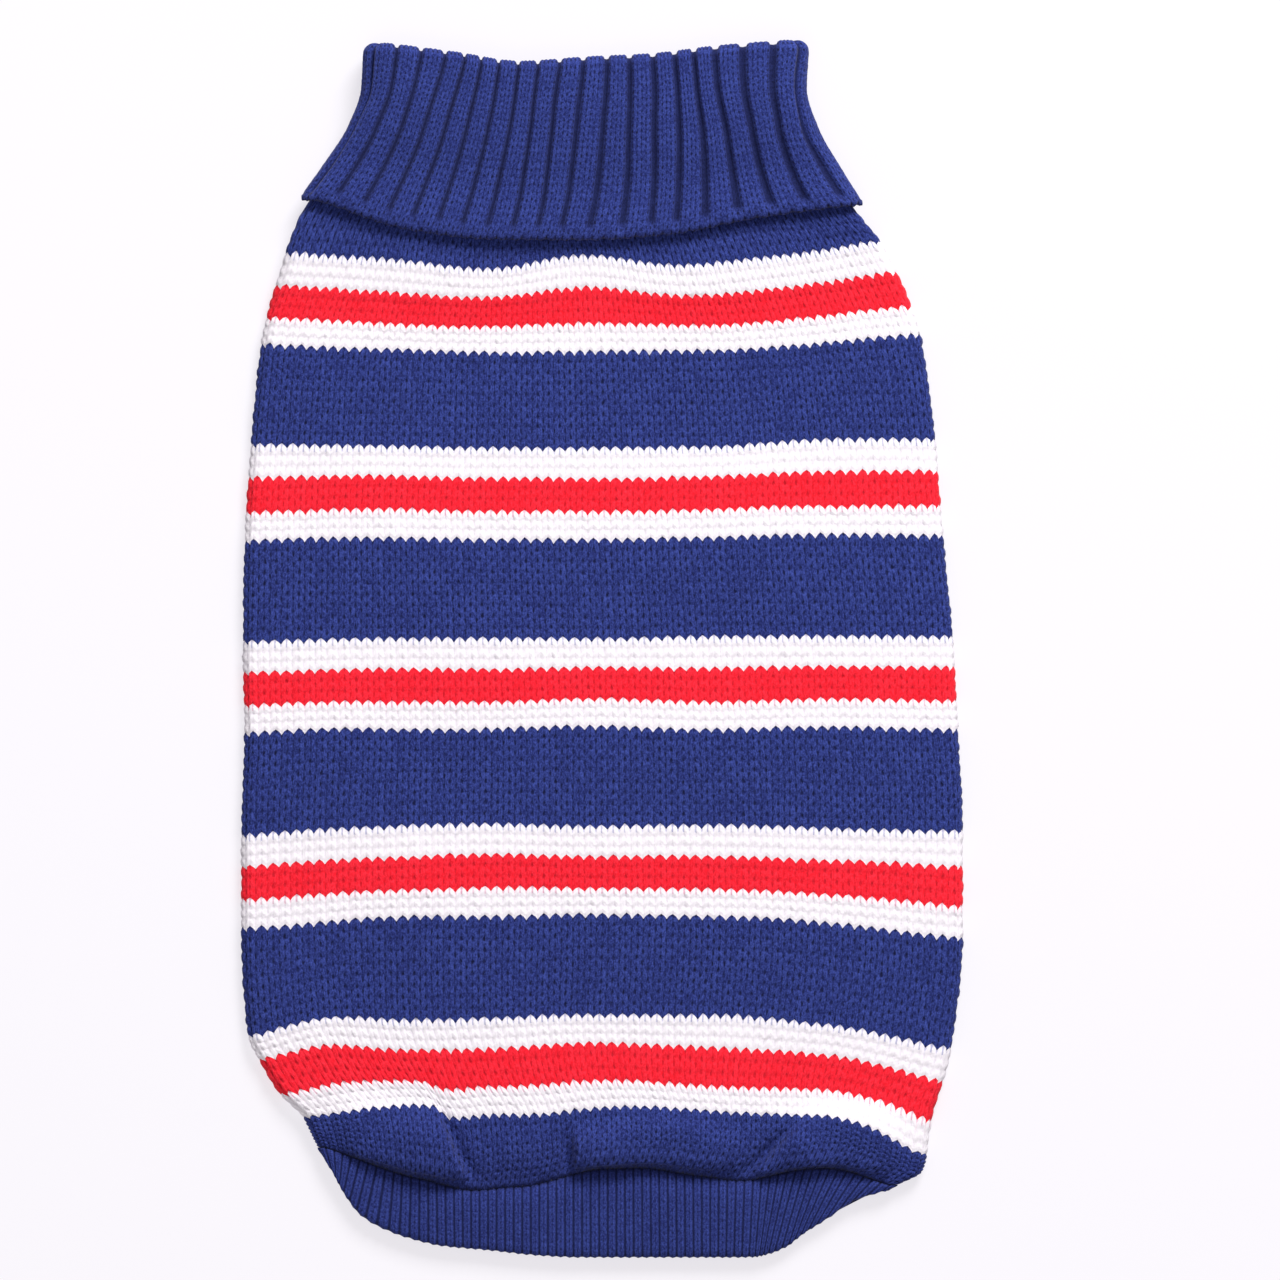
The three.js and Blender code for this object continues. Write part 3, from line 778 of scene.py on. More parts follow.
def make_back(sizes):
    """The back panel: its top, both side folds and the strips that wrap under to the belly seams."""
    wales = BODY_WALES
    # Each of the two strips under the body has a number of its own, unlike the whole underside
    under_left, under_right = 4, 5
    runs = [
        (under_left, wales["under"]),
        (LEFT, wales["side"]),
        (TOP, wales["top"]),
        (RIGHT, wales["side"]),
        (under_right, wales["under"]),
    ]
    part, along, wale, courses, course, depth = body_grid(runs, sizes.stitch_relief / MM, seed=11)
    line = body_line(course, np.clip(along, 0, 1))
    seam_left, seam_right = seam_places(line, -SEAM_GAP / 2)
    place = np.clip(along, 0, 1)
    at = np.select(
        [part == under_left, part == under_right],
        [seam_left * (1 - place), 1 - (1 - seam_right) * place],
        place,
    )
    ring = np.where(part >= under_left, UNDER, part)
    # Nothing on the underside stands lower than the surface it lies on
    sink = np.select([ring == UNDER, ring == TOP], [1.0, 0.0], 0.5)
    sink = sink * UNDER_SINK * sizes.stitch_relief / MM
    outer = tube_points(line, ring, at, depth + sink[None, :])
    inner = tube_points(line, ring, at, np.full(at.shape, BODY_WALL))
    up_share = np.select([ring == LEFT, ring == RIGHT, ring == UNDER], [place, 1 - place, 0], 1.0)
    pushed = nudge(outer[..., 0], outer[..., 1]) * smooth_step(up_share, 0, 1)
    pushed = pushed * smooth_step(LAST_COURSE - course, 0, 3)
    for points in (outer, inner):
        points[..., 1] += pushed
        move_ends(points, -SEAM_GAP / 2, SEAM_GAP / 2)
    outer = overhang(outer, ring, course, wale)
    on_top = ring == TOP
    inner[:, on_top, 2] = lowest_near(inner[:, on_top, 2], 4, 5)
    start = np.searchsorted(courses, PUFFS_FROM)
    row_stride, column_stride = BACK_STRIDES
    near_hem = start + picks_along(len(courses) - start, PUFF_STRIDE)
    row_picks = np.append(np.arange(0, start, row_stride), near_hem)
    slots = stripe_slots(courses[:-1])
    return shell("knit_back", outer, inner, (wale, courses), False, slots, row_picks, column_stride)


def lowest_near(heights, rows, columns):
    """The lowest height within a few rows and columns of each point of a grid."""
    padded = np.pad(heights, ((rows, rows), (columns, columns)), mode="edge")
    near = np.lib.stride_tricks.sliding_window_view(padded, (2 * rows + 1, 2 * columns + 1))
    return near.min(axis=(2, 3))


def overhang(points, ring, course, wale):
    """The puffs above the hem roll forward a little over its seam, stitch by stitch."""
    lift = np.clip(points[..., 2] - ROLL_FROM, 0, ROLL_MOST)
    near_seam = np.exp(-((course - ROLL_COURSES[0]) / ROLL_COURSES[1]) ** 2)
    at_seam = np.exp(-((course - ROLL_STITCH_COURSES[0]) / ROLL_STITCH_COURSES[1]) ** 2)
    stitches = ROLL_STITCH * np.cos(2 * np.pi * wale)[None, :] * at_seam
    points[..., 1] -= np.where(ring == TOP, ROLL_SHARE * lift * near_seam + stitches, 0)
    return points


def make_belly(sizes):
    """The belly panel between its two seams, with two leg openings cut through it."""
    runs = [(UNDER, BODY_WALES["belly"])]
    part, along, wale, courses, course, depth = body_grid(runs, sizes.stitch_relief / MM, seed=23)
    line = body_line(course, np.clip(along, 0, 1))
    seam_left, seam_right = seam_places(line, SEAM_GAP / 2)
    at = seam_left + (seam_right - seam_left) * np.clip(along, 0, 1)
    outer = tube_points(line, part, at, depth + UNDER_SINK * sizes.stitch_relief / MM)
    inner = tube_points(line, part, at, np.full(at.shape, BODY_WALL))
    for points in (outer, inner):
        move_ends(points, -SEAM_GAP / 2, SEAM_GAP / 2)
    row_stride, column_stride = BELLY_STRIDES
    row_picks = picks_along(len(courses), row_stride)
    slots = stripe_slots(courses[:-1])
    belly = shell("knit_belly", outer, inner, (wale, courses), False, slots, row_picks, column_stride)
    # Flat triangles are cut cleanly, where a bent four-sided face would leave doubled edges at the rim
    triangles = belly.modifiers.new("triangles", "TRIANGULATE")
    bpy.context.view_layer.objects.active = belly
    bpy.ops.object.modifier_apply(modifier=triangles.name)
    for side in (-1, 1):
        cut_leg_opening(belly, side)
    return belly


def cut_leg_opening(belly, side):
    """Cuts one oval opening through the belly panel."""
    bpy.ops.object.select_all(action="DESELECT")
    bpy.ops.mesh.primitive_cylinder_add(vertices=128, radius=1, depth=20 * MM, location=leg_centre(side))
    cutter = bpy.context.object
    cutter.scale = (LEG_HALF[0] * MM, LEG_HALF[1] * MM, 1)
    bpy.ops.object.transform_apply(location=False, rotation=False, scale=True)
    cut = belly.modifiers.new("leg opening", "BOOLEAN")
    cut.operation = "DIFFERENCE"
    cut.solver = "EXACT"
    cut.object = cutter
    bpy.context.view_layer.objects.active = belly
    bpy.ops.object.modifier_apply(modifier=cut.name)
    bpy.data.objects.remove(cutter)


def leg_centre(side):
    """The middle of a leg opening, in metres: side is -1 at the left and 1 at the right."""
    return ((LEG_CENTRE[0] + side * LEG_APART / 2) * MM, LEG_CENTRE[1] * MM, 0)


def ring_position(line, x):
    """How far round the ring a place on the top is, in millimetres from the left end of its flat part."""
    radius = (line["edge"] - line["floor"]) / 2
    flat_left = line["left"] + radius
    flat_right = line["right"] - radius
    before = radius * np.arcsin(np.clip((flat_left - x) / radius, 0, 0.99))
    after = radius * np.arcsin(np.clip((x - flat_right) / radius, 0, 0.99))
    return np.clip(x, flat_left, flat_right) - flat_left - before + after


def ring_place(line, position):
    """The part of the ring, and the place along it, of a position in millimetres round the ring."""
    radius = (line["edge"] - line["floor"]) / 2
    flat = line["right"] - line["left"] - 2 * radius
    fold = np.pi * radius
    position = np.mod(position + fold, 2 * (flat + fold)) - fold
    part = np.select([position < 0, position <= flat, position <= flat + fold], [LEFT, TOP, RIGHT], UNDER)
    at = np.select(
        [part == LEFT, part == TOP, part == RIGHT],
        [1 + position / fold, position / flat, (position - flat) / fold],
        1 - (position - flat - fold) / flat,
    )
    return part, np.clip(at, 0, 1)


def rib_columns(rib, ribs):
    """Columns for a number of ribs: the place of each counted in ribs, its wale and its row of the table."""
    count = len(rib)
    number = (np.arange(ribs)[:, None] + rib[None, :, 0]).ravel()
    wales_in_rib = 2 * rib[count // 2, 1]
    wale = (wales_in_rib * np.arange(ribs)[:, None] + rib[None, :, 1]).ravel()
    return number, np.append(wale, wales_in_rib * ribs), np.tile(np.arange(count), ribs)


def rib_grids(rib, number, kind, courses, seed):
    """Arch and height of every point of a ribbed grid, rib by rib and course by course."""
    phase = np.round((courses % 1) * ROWS_PER_COURSE).astype(int) % ROWS_PER_COURSE
    dip = COURSE_DIP[phase]
    dice = np.random.default_rng(seed)
    course_index = np.floor(courses + ROUNDING).astype(int)
    own = dice.normal(size=(course_index.max() + 1, len(number)))[course_index]
    arch = np.repeat(rib[kind, 2][None, :], len(courses), axis=0)
    dips = RIB_DIP * rib[kind, 4][None, :] * dip[:, None] * (1 + RIB_HEIGHTS[0] * own)
    return arch, rib[kind, 3][None, :] - dips + RIB_HEIGHTS[1] * own


def collar_profile(courses):
    """Rows of the collar from its free edge over its fold and down to the neck seam, and their courses.

    A row gives its place from the free edge, 0, to the fold, 1, the depths of its outer and hidden faces,
    how far each of them reaches past the line of the fold, and how far the cloth has turned over.
    """
    flap_rows = courses["flap"] * ROWS_PER_COURSE
    fold_rows = courses["fold"] * ROWS_PER_COURSE
    stand_rows = courses["stand"] * STAND_ROWS
    rows = []
    for i in range(flap_rows + 1):
        rows.append((i / flap_rows, 0, COLLAR_WALL, 0, 0, 0))
    hidden_centre = (COLLAR_WALL + STAND_OUTSIDE) / 2
    for i in range(1, fold_rows):
        turn = math.pi * i / fold_rows
        rows.append((
            1,
            FOLD_RADIUS * (1 - math.cos(turn)),
            hidden_centre - FOLD_SLOT / 2 * math.cos(turn),
            FOLD_RADIUS * math.sin(turn),
            FOLD_SLOT / 2 * math.sin(turn),
            turn,
        ))
    for i in range(stand_rows + 1):
        at = 1 - (1 - NECK_SEAM_AT) * i / stand_rows
        rows.append((at, STAND_INSIDE, STAND_OUTSIDE, 0, 0, math.pi))
    rows = np.array(rows)
    numbers = np.concatenate([
        np.arange(flap_rows + fold_rows) / ROWS_PER_COURSE,
        courses["flap"] + courses["fold"] + np.arange(stand_rows + 1) / STAND_ROWS,
    ])
    return rows, numbers


def widen_furrows(number):
    """Rib numbers moved so that each furrow has the width that FURROW_HALF gives it."""
    whole_rib = np.floor(number + ROUNDING)
    share = number - whole_rib
    edge = COLLAR_RIB[1, 0]
    narrow, wide = FURROW_HALF
    half = narrow + (wide - narrow) * smooth_step(number, *FURROW_WIDENS)
    before = share * half / edge
    between = half + (share - edge) * (1 - 2 * half) / (1 - 2 * edge)
    after = 1 - (1 - share) * half / edge
    return whole_rib + np.select([share < edge, share > 1 - edge], [before, after], between)


def make_collar(sizes):
    """The collar: one rib tube, turned down on itself."""
    ribs = COLLAR_RIBS["top"] + COLLAR_RIBS["under"]
    number, wales, kind = rib_columns(COLLAR_RIB, ribs)
    rows, courses = collar_profile(COLLAR_COURSES)
    arch, height = rib_grids(COLLAR_RIB, number, kind, courses, seed=31)
    height = height * sizes.collar_rib_height / COLLAR_RIB_HEIGHT
    cast_off = np.exp(-(courses[:, None] / CAST_OFF_REACH) ** 4)
    height = height * (1 - cast_off) + CAST_OFF_HEIGHT * cast_off
    at_row, outside, hidden, outside_up, hidden_up, turn = (rows[:, i:i + 1] for i in range(6))
    course_step = 1 / COLLAR_COURSES["flap"]
    ends = np.clip(courses, 0, 1)[:, None] * (turn == 0)
    at_line = np.clip(at_row + arch * course_step * ends, 0, 1)

    # Grooves on the top lie where the table says, and the ribs underneath are all as wide
    line = collar_line(at_line, np.full(at_line.shape, 0.5))
    number = widen_furrows(number)
    grid_number, grid_course = np.meshgrid(number, courses)
    sway = RIB_WAVES[0] * soft_noise(grid_number * 3, grid_course, RIB_WAVES[1], seed=32)
    on_top = np.clip((grid_number + sway) / COLLAR_RIBS["top"], 0, 1)
    keys = COLLAR_GROOVES[:, 0]
    groove = curve_through(keys, lines_across(COLLAR_GROOVES, 1, on_top))(at_line)
    first, last = (curve_through(keys, COLLAR_GROOVES[:, i])(at_line) for i in (1, 7))
    first = ring_position(line, first)
    last = ring_position(line, last)
    radius = (line["edge"] - line["floor"]) / 2
    whole = 2 * (line["right"] - line["left"] - 2 * radius + np.pi * radius)
    underneath = np.clip((grid_number - COLLAR_RIBS["top"]) / COLLAR_RIBS["under"], 0, 1)
    position = np.where(
        grid_number < COLLAR_RIBS["top"],
        ring_position(line, groove),
        last + (first + whole - last) * underneath,
    )
    part, at = ring_place(line, position)
    line = collar_line(at_line, np.where(part == TOP, at, 0.5))

    # On the underside the ribs' crests lie on the surface and the furrows go inwards
    up_share = np.select([part == LEFT, part == RIGHT, part == UNDER], [at, 1 - at, 0], 1.0)
    sink = 1 - smooth_step(up_share, 0.1, 0.45)
    rib_share = 1 - FOLD_FLATTENS * np.clip(turn / math.pi, 0, 1)
    tuck = edge_tuck(len(courses), *COLLAR_TUCK, part, on_sides=1.0)
    rise = (height - sink) * rib_share - tuck
    outer = tube_points(line, part, at, outside - rise * np.cos(turn))
    outer[..., 1] += outside_up + rise * np.sin(turn)
    loops = np.cos(2 * np.pi * wales[:-1])[None, :] * np.exp(-(courses[:, None] / LOOP_REACH) ** 2)
    outer[..., 1] -= LOOP_SIZE * loops * rib_share
    inner = tube_points(line, part, at, np.repeat(hidden, len(number), axis=1))
    inner[..., 1] += hidden_up
    for points in (outer, inner):
        points[-1, :, 1] += SEAM_GAP / 2
    slots = np.zeros(len(courses) - 1, dtype=np.int32)
    row_stride, column_stride = COLLAR_STRIDES
    row_picks = picks_along(len(courses), row_stride)
    return shell("rib_collar", outer, inner, (wales, courses), True, slots, row_picks, column_stride)


def make_hem(sizes):
    """The hem band: a fine rib tube from the body's last course to its own free edge."""
    side, top = HEM_RIBS["side"], HEM_RIBS["top"]
    ribs = 2 * side + top + HEM_RIBS["under"]
    number, wales, kind = rib_columns(HEM_RIB, ribs)
    courses = np.arange(HEM_COURSES * ROWS_PER_COURSE + 1) / ROWS_PER_COURSE
    arch, height = rib_grids(HEM_RIB, number, kind, courses, seed=41)
    height = height * sizes.hem_rib_height / HEM_RIB_HEIGHT
    ends = np.minimum(courses, HEM_COURSES - courses).clip(0, 1)[:, None]
    at_line = np.clip((courses[:, None] + arch * ends) / HEM_COURSES, 0, 1)
    starts = np.cumsum([0, side, top, side])
    part = np.searchsorted(starts, number, side="right") - 1
    along = (number - starts[part]) / np.array([side, top, side, HEM_RIBS["under"]])[part]
    place = np.where(part == UNDER, 1 - along, along)
    at = np.repeat(place[None, :], len(courses), axis=0)
    line = hem_line(at_line, at)
    up_share = np.select([part == LEFT, part == RIGHT, part == UNDER], [place, 1 - place, 0], 1.0)
    sink = (1 - smooth_step(up_share, 0.15, 0.5)) * HEM_SINK
    tuck = edge_tuck(len(courses), *HEM_TUCK, part)
    outer = tube_points(line, part, at, sink[None, :] + tuck - height)
    ragged = np.exp(-((HEM_COURSES - courses[:, None]) / HEM_LOOP_REACH) ** 2)
    outer[..., 1] += HEM_LOOP * np.cos(2 * np.pi * number)[None, :] * ragged
    inner = tube_points(line, part, at, np.full(at.shape, HEM_WALL))
    for points in (outer, inner):
        points[0, :, 1] -= SEAM_GAP / 2
    slots = np.zeros(len(courses) - 1, dtype=np.int32)
    row_stride, column_stride = HEM_STRIDES
    row_picks = picks_along(len(courses), row_stride)
    return shell("rib_hem", outer, inner, (wales, courses), True, slots, row_picks, column_stride)


def make_leg_band(side, name):
    """One leg band: a flat oval ring of fine rib whose wales run inwards from its seam."""
    centre_x, centre_y, _ = leg_centre(side)
    columns = LEG_RIBS * len(HEM_RIB)
    angle = 2 * np.pi * np.arange(columns) / columns
    kind = np.arange(columns) % len(HEM_RIB)
    reach = np.linspace(0, 1, LEG_ROWS + 1)
    out_x = LEG_HALF[0] - SEAM_GAP
    out_y = LEG_HALF[1] - SEAM_GAP
    x = (out_x - LEG_BAND_WIDTH * reach)[:, None] * np.cos(angle)[None, :]
    y = (out_y - LEG_BAND_WIDTH * reach)[:, None] * np.sin(angle)[None, :]
    relief = LEG_SINK - HEM_RIB[kind, 3]
    tuck = edge_tuck(LEG_ROWS + 1, *LEG_TUCK, kind + UNDER)
    under = np.clip(relief[None, :] + tuck, 0, BODY_WALL - LEG_THINNEST)
    over = BODY_WALL - np.clip(LEG_SHOWS * relief[None, :] + tuck, 0, LEG_SHOWS_MOST)
    x = x + centre_x / MM
    y = y + centre_y / MM
    outer = np.stack([x, y, under], axis=-1)
    inner = np.stack([x, y, over], axis=-1)
    wales = np.arange(columns + 1) * 2 / len(HEM_RIB)
    courses = reach * LEG_COURSES
    slots = np.zeros(LEG_ROWS, dtype=np.int32)
    return shell(name, outer, inner, (wales, courses), True, slots, picks_along(len(reach), 1), 1)


def add(tree, kind, links=None, **settings):
    """Adds a node with its settings. links gives its inputs, each a value or another node's socket."""
    node = tree.nodes.new(kind)
    for name, value in settings.items():
        setattr(node, name, value)
    for key, value in (links or {}).items():
        socket = node.inputs[key]
        if isinstance(value, bpy.types.NodeSocket):
            tree.links.new(value, socket)
        else:
            socket.default_value = value
    return node


def maths(tree, operation, *values):
    """A Math node's result."""
    return add(tree, "ShaderNodeMath", dict(enumerate(values)), operation=operation).outputs[0]


def ramp(tree, value, start, end, low=0.0, high=1.0):
    """A soft step from low to high as a value goes from start to end."""
    links = {0: value, 1: start, 2: end, 3: low, 4: high}
    return add(tree, "ShaderNodeMapRange", links, interpolation_type="SMOOTHSTEP").outputs[0]


def blend(tree, share, first, second):
    """Two colours mixed."""
    links = {0: share, 6: first, 7: second}
    return add(tree, "ShaderNodeMix", links, data_type="RGBA").outputs[2]


def near_furrow(tree, coordinate, period, phase=0.0):
    """How far a coordinate is from the nearest furrow, where furrows repeat at a period."""
    scaled = maths(tree, "MULTIPLY_ADD", coordinate, 1 / period, 0.5 - phase / period)
    centred = maths(tree, "SUBTRACT", maths(tree, "FRACT", scaled), 0.5)
    return maths(tree, "MULTIPLY", maths(tree, "ABSOLUTE", centred), period)


def yarn(name, shade, light, crevice, hole_shade, rib_wales=0, furrow_shade=0.0, stitch_size=3.5,
         soft=0.6, seams=(), above=()):
    """Acrylic knitting yarn: matt and a little fuzzy, light along its fibres, with shade painted between
    stitches.

    The stitches' own coordinates count wales and courses, so every mark lands on its own stitch. A stitch
    is stitch_size millimetres wide. Its fibres, far too fine to show, are drawn as streaks about 0.3 mm
    wide that run along each leg. crevice is the colour of the shade painted between stitches; the hole share
    says how strongly it is painted in the holes and thin furrows between legs, and the furrow share how
    strongly in a rib's purl furrows. rib_wales says how often a purl furrow comes, if at all, seams the
    courses where the cloth dips into the crease of a seam and is painted with shade there, and above the
    courses in whose slits a neighbour's colour shows.
    """
    material = bpy.data.materials.new(name)
    material.use_nodes = True
    tree = material.node_tree
    shader = tree.nodes["Principled BSDF"]
    shader.inputs["Roughness"].default_value = 0.95
    shader.inputs["Specular IOR Level"].default_value = 0.15
    shader.inputs["Sheen Weight"].default_value = 0.06
    shader.inputs["Sheen Roughness"].default_value = 0.5
    stitches = add(tree, "ShaderNodeUVMap", uv_map="stitches").outputs[0]
    split = add(tree, "ShaderNodeSeparateXYZ", {0: stitches})
    wale, course = split.outputs[0], split.outputs[1]
    place = add(tree, "ShaderNodeTexCoord").outputs["Object"]

    # Loose fibres in tufts 0.6 mm across blur every edge between marks
    fuzz = add(tree, "ShaderNodeTexNoise", {
        "Vector": place, "Scale": 1 / (0.6 * MM), "Detail": 2.0, "Roughness": 0.6,
    })
    wander = maths(tree, "MULTIPLY_ADD", fuzz.outputs[0], 0.12, -0.06)
    wale = maths(tree, "ADD", wale, wander)
    fine_rib = rib_wales == 2
    across = near_furrow(tree, wale, 1.0 if fine_rib else 0.5)
    along = near_furrow(tree, maths(tree, "ADD", course, wander), 1.0, phase=0.06)

    # Painted shade in the hole where four legs meet, and in the thin furrow between two legs
    hole_x = maths(tree, "MULTIPLY", across, 4.0 if fine_rib else 7.0)
    hole_y = maths(tree, "MULTIPLY", along, 2.9)
    square_x = maths(tree, "MULTIPLY", hole_x, hole_x)
    square_y = maths(tree, "MULTIPLY", hole_y, hole_y)
    reach = maths(tree, "SQRT", maths(tree, "ADD", square_x, square_y))
    hole = ramp(tree, reach, 0.35, 1.05, 1.0, 0.0)
    furrow = ramp(tree, across, 0.0, 0.3 if fine_rib else 0.09, 0.5 if fine_rib else 0.38, 0.0)
    shade_and_slits = maths(tree, "MAXIMUM", hole, furrow)

    # Each stitch's painted shade is a little deeper or fainter, and its tone a little different
    cell = add(tree, "ShaderNodeVectorMath", {0: stitches, 1: (2.0, 1.0, 1.0)}, operation="MULTIPLY")
    cell = add(tree, "ShaderNodeVectorMath", {0: cell.outputs[0]}, operation="FLOOR")
    chance = add(tree, "ShaderNodeTexWhiteNoise", {0: cell.outputs[0]}, noise_dimensions="2D")
    depth = maths(tree, "MULTIPLY_ADD", chance.outputs["Value"], 0.55, 0.45)
    shade_and_slits = maths(tree, "MULTIPLY", maths(tree, "MULTIPLY", shade_and_slits, depth), hole_shade)
    # Painted shade in a rib's purl furrows; on the collar it fades out towards the cast-off edge
    if rib_wales:
        valley = near_furrow(tree, wale, float(rib_wales))
        cast_off = 1.0 if fine_rib else ramp(tree, course, 0.8, 2.2)
        near, far = (0.1, 0.45) if fine_rib else (0.14, 0.48)
        furrow = maths(tree, "MULTIPLY", ramp(tree, valley, near, far, furrow_shade, 0.0), cast_off)
        shade_and_slits = maths(tree, "MAXIMUM", shade_and_slits, furrow)
    # Painted shade, deepening towards a seam, where the cloth dips into its crease
    for start, end in seams:
        shade_and_slits = maths(tree, "MAXIMUM", shade_and_slits, ramp(tree, course, float(start), float(end), 0.0, 0.5))
    # Colour of the painted shade between stitches; in the slits of the courses named in above, a neighbour
    # yarn's own colour shows instead
    gap = (*crevice, 1)
    for start, colour in above:
        moved = maths(tree, "SUBTRACT", course, FIRST_STRIPE + start)
        place_in = maths(tree, "FRACT", maths(tree, "DIVIDE", moved, float(STRIPE_REPEAT)))
        here = maths(tree, "LESS_THAN", place_in, 0.8 / STRIPE_REPEAT)
        slit = ramp(tree, near_furrow(tree, wale, 1.0, phase=0.5), 0.02, 0.12, 0.7, 0.0)
        slit = maths(tree, "MULTIPLY", maths(tree, "MULTIPLY", slit, here), depth)
        shade_and_slits = maths(tree, "MAXIMUM", shade_and_slits, slit)
        gap = blend(tree, here, gap, (*colour, 1))

    # Fibres run along each leg, lighter and darker
    stretch = add(tree, "ShaderNodeVectorMath", {0: stitches, 1: (11.0, 2.6, 1.0)}, operation="MULTIPLY")
    fibres = add(tree, "ShaderNodeTexNoise", {
        "Vector": stretch.outputs[0], "Scale": 1.0, "Detail": 3.0, "Roughness": 0.65,
    }, noise_dimensions="2D").outputs[0]
    patches = add(tree, "ShaderNodeTexNoise", {"Vector": place, "Scale": 1 / (9 * MM), "Detail": 2.0})
    loose = maths(tree, "MULTIPLY", fuzz.outputs[0], 0.45)
    tone = maths(tree, "ADD", maths(tree, "MULTIPLY", fibres, 0.55), loose)
    for change in (patches.outputs[0], chance.outputs["Value"]):
        tone = maths(tree, "SUBTRACT", tone, TONE_CHANGE / 2)
        tone = maths(tree, "MULTIPLY_ADD", change, TONE_CHANGE, tone)
    body = blend(tree, ramp(tree, tone, 0.36, 0.66), (*shade, 1), (*light, 1))
    # The painted shade, and a neighbour's colour in the slits, laid over the yarn's tone
    tree.links.new(blend(tree, shade_and_slits, body, gap), shader.inputs["Base Color"])

    # Round legs, plies twisted round each other, and loose fibres
    leg = ramp(tree, across, 0.0, 0.2)
    twist = add(tree, "ShaderNodeVectorMath", {0: stitches, 1: (5.0, 3.0, 1.0)}, operation="DOT_PRODUCT")
    ply = maths(tree, "SINE", maths(tree, "MULTIPLY", twist.outputs["Value"], 2 * math.pi))
    relief = maths(tree, "MULTIPLY_ADD", ply, 0.10, maths(tree, "MULTIPLY", leg, 0.5))
    relief = maths(tree, "MULTIPLY_ADD", fuzz.outputs[0], 0.55, relief)
    relief = maths(tree, "MULTIPLY_ADD", shade_and_slits, -0.5, relief)
    raised = add(tree, "ShaderNodeBump", {
        "Strength": soft, "Distance": 0.1 * stitch_size * MM, "Height": relief,
    })
    tree.links.new(raised.outputs[0], shader.inputs["Normal"])
    return material


def body_yarns(colours):
    """The three yarns of the body: navy, white and red."""
    return [
        # Each crevice colour is the shade painted between that yarn's stitches, and the navy is painted
        # darker still towards the hem seam's crease
        yarn("navy acrylic knitting yarn", colours.navy, colours.navy_light, colours.navy_crevice_shade,
             hole_shade=1.0, seams=((94.2, 95.0),)),
        yarn("white acrylic knitting yarn", colours.white_shade, colours.white,
             linear_colour("#CFC6D3"), hole_shade=0.5, soft=0.4,
             above=((0, linear_colour("#6A72B0")), (6, linear_colour("#D0628F")))),
        yarn("red acrylic knitting yarn", colours.red, colours.red_light,
             linear_colour("#9E0E1C"), hole_shade=0.7),
    ]


def declare(piece, node):
    """What the shared frame has to know about one sheet of cloth."""
    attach(piece, "root")
    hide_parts(node)


class SweaterSizes(bpy.types.PropertyGroup):
    """Sizes that change the look of the knitting."""
    stitch_relief: bpy.props.FloatProperty(
        name="Stitch relief", description="How high the body's stitches stand",
        default=1.0 * MM, min=0, max=3 * MM, unit="LENGTH")
    collar_rib_height: bpy.props.FloatProperty(
        name="Collar rib height", description="Height of the collar's ribs above the cloth",
        default=COLLAR_RIB_HEIGHT, min=0, max=3 * MM, unit="LENGTH")
    hem_rib_height: bpy.props.FloatProperty(
        name="Hem rib height", description="Height of the hem band's fine ribs",
        default=HEM_RIB_HEIGHT, min=0, max=2 * MM, unit="LENGTH")


class SweaterColours(bpy.types.PropertyGroup):
    """Colours of the yarns and of the floor."""
    navy: bpy.props.FloatVectorProperty(
        name="Navy", description="Darker fibres of the navy yarn",
        default=linear_colour("#1A225B"), min=0, max=1, subtype="COLOR")
    navy_light: bpy.props.FloatVectorProperty(
        name="Navy light", description="Navy fibres that catch the light",
        default=linear_colour("#3B4A97"), min=0, max=1, subtype="COLOR")
    # Painted shade between the navy stitches and in the ribs' purl furrows
    navy_crevice_shade: bpy.props.FloatVectorProperty(
        name="Navy crevice", description="Navy between the stitches",
        default=linear_colour("#0E1130"), min=0, max=1, subtype="COLOR")
    white: bpy.props.FloatVectorProperty(
        name="White", description="White yarn",
        default=linear_colour("#F5F0F4"), min=0, max=1, subtype="COLOR")
    white_shade: bpy.props.FloatVectorProperty(
        name="White shade", description="Darker fibres of the white yarn",
        default=linear_colour("#EEE7ED"), min=0, max=1, subtype="COLOR")
    red: bpy.props.FloatVectorProperty(
        name="Red", description="Darker fibres of the red yarn",
        default=linear_colour("#EC1829"), min=0, max=1, subtype="COLOR")
    red_light: bpy.props.FloatVectorProperty(
        name="Red light", description="Red fibres that catch the light",
        default=linear_colour("#FF3042"), min=0, max=1, subtype="COLOR")
    floor: bpy.props.FloatVectorProperty(
        name="Floor", description="Pale floor under the sweater",
        default=linear_colour("#8A888B"), min=0, max=1, subtype="COLOR")


class SWEATER_OT_back(bpy.types.Operator):
    """Knit the striped back panel"""
    bl_idname = "sweater.back"
    bl_label = "Back Panel"

    def execute(self, context):
        piece = make_back(context.scene.sweater_sizes)
        for material in body_yarns(context.scene.sweater_colours):
            piece.data.materials.append(material)
        declare(piece, "back_panel")
        return {"FINISHED"}


class SWEATER_OT_belly(bpy.types.Operator):
    """Knit the belly panel and cut its leg openings"""
    bl_idname = "sweater.belly"
    bl_label = "Belly Panel"

    def execute(self, context):
        piece = make_belly(context.scene.sweater_sizes)
        for name in ("navy", "white", "red"):
            piece.data.materials.append(bpy.data.materials[f"{name} acrylic knitting yarn"])
        declare(piece, "belly_panel")
        return {"FINISHED"}


class SWEATER_OT_collar(bpy.types.Operator):
    """Knit the turned-down rib collar"""
    bl_idname = "sweater.collar"
    bl_label = "Collar"

    def execute(self, context):
        piece = make_collar(context.scene.sweater_sizes)
        colours = context.scene.sweater_colours
        # Shade is painted between the stitches and deep in the purl furrows between the ribs
        piece.data.materials.append(yarn(
            "navy rib yarn", colours.navy, colours.navy_light, colours.navy_crevice_shade,
            hole_shade=1.0, rib_wales=3, furrow_shade=0.74, stitch_size=2.6))
        declare(piece, "collar")
        return {"FINISHED"}


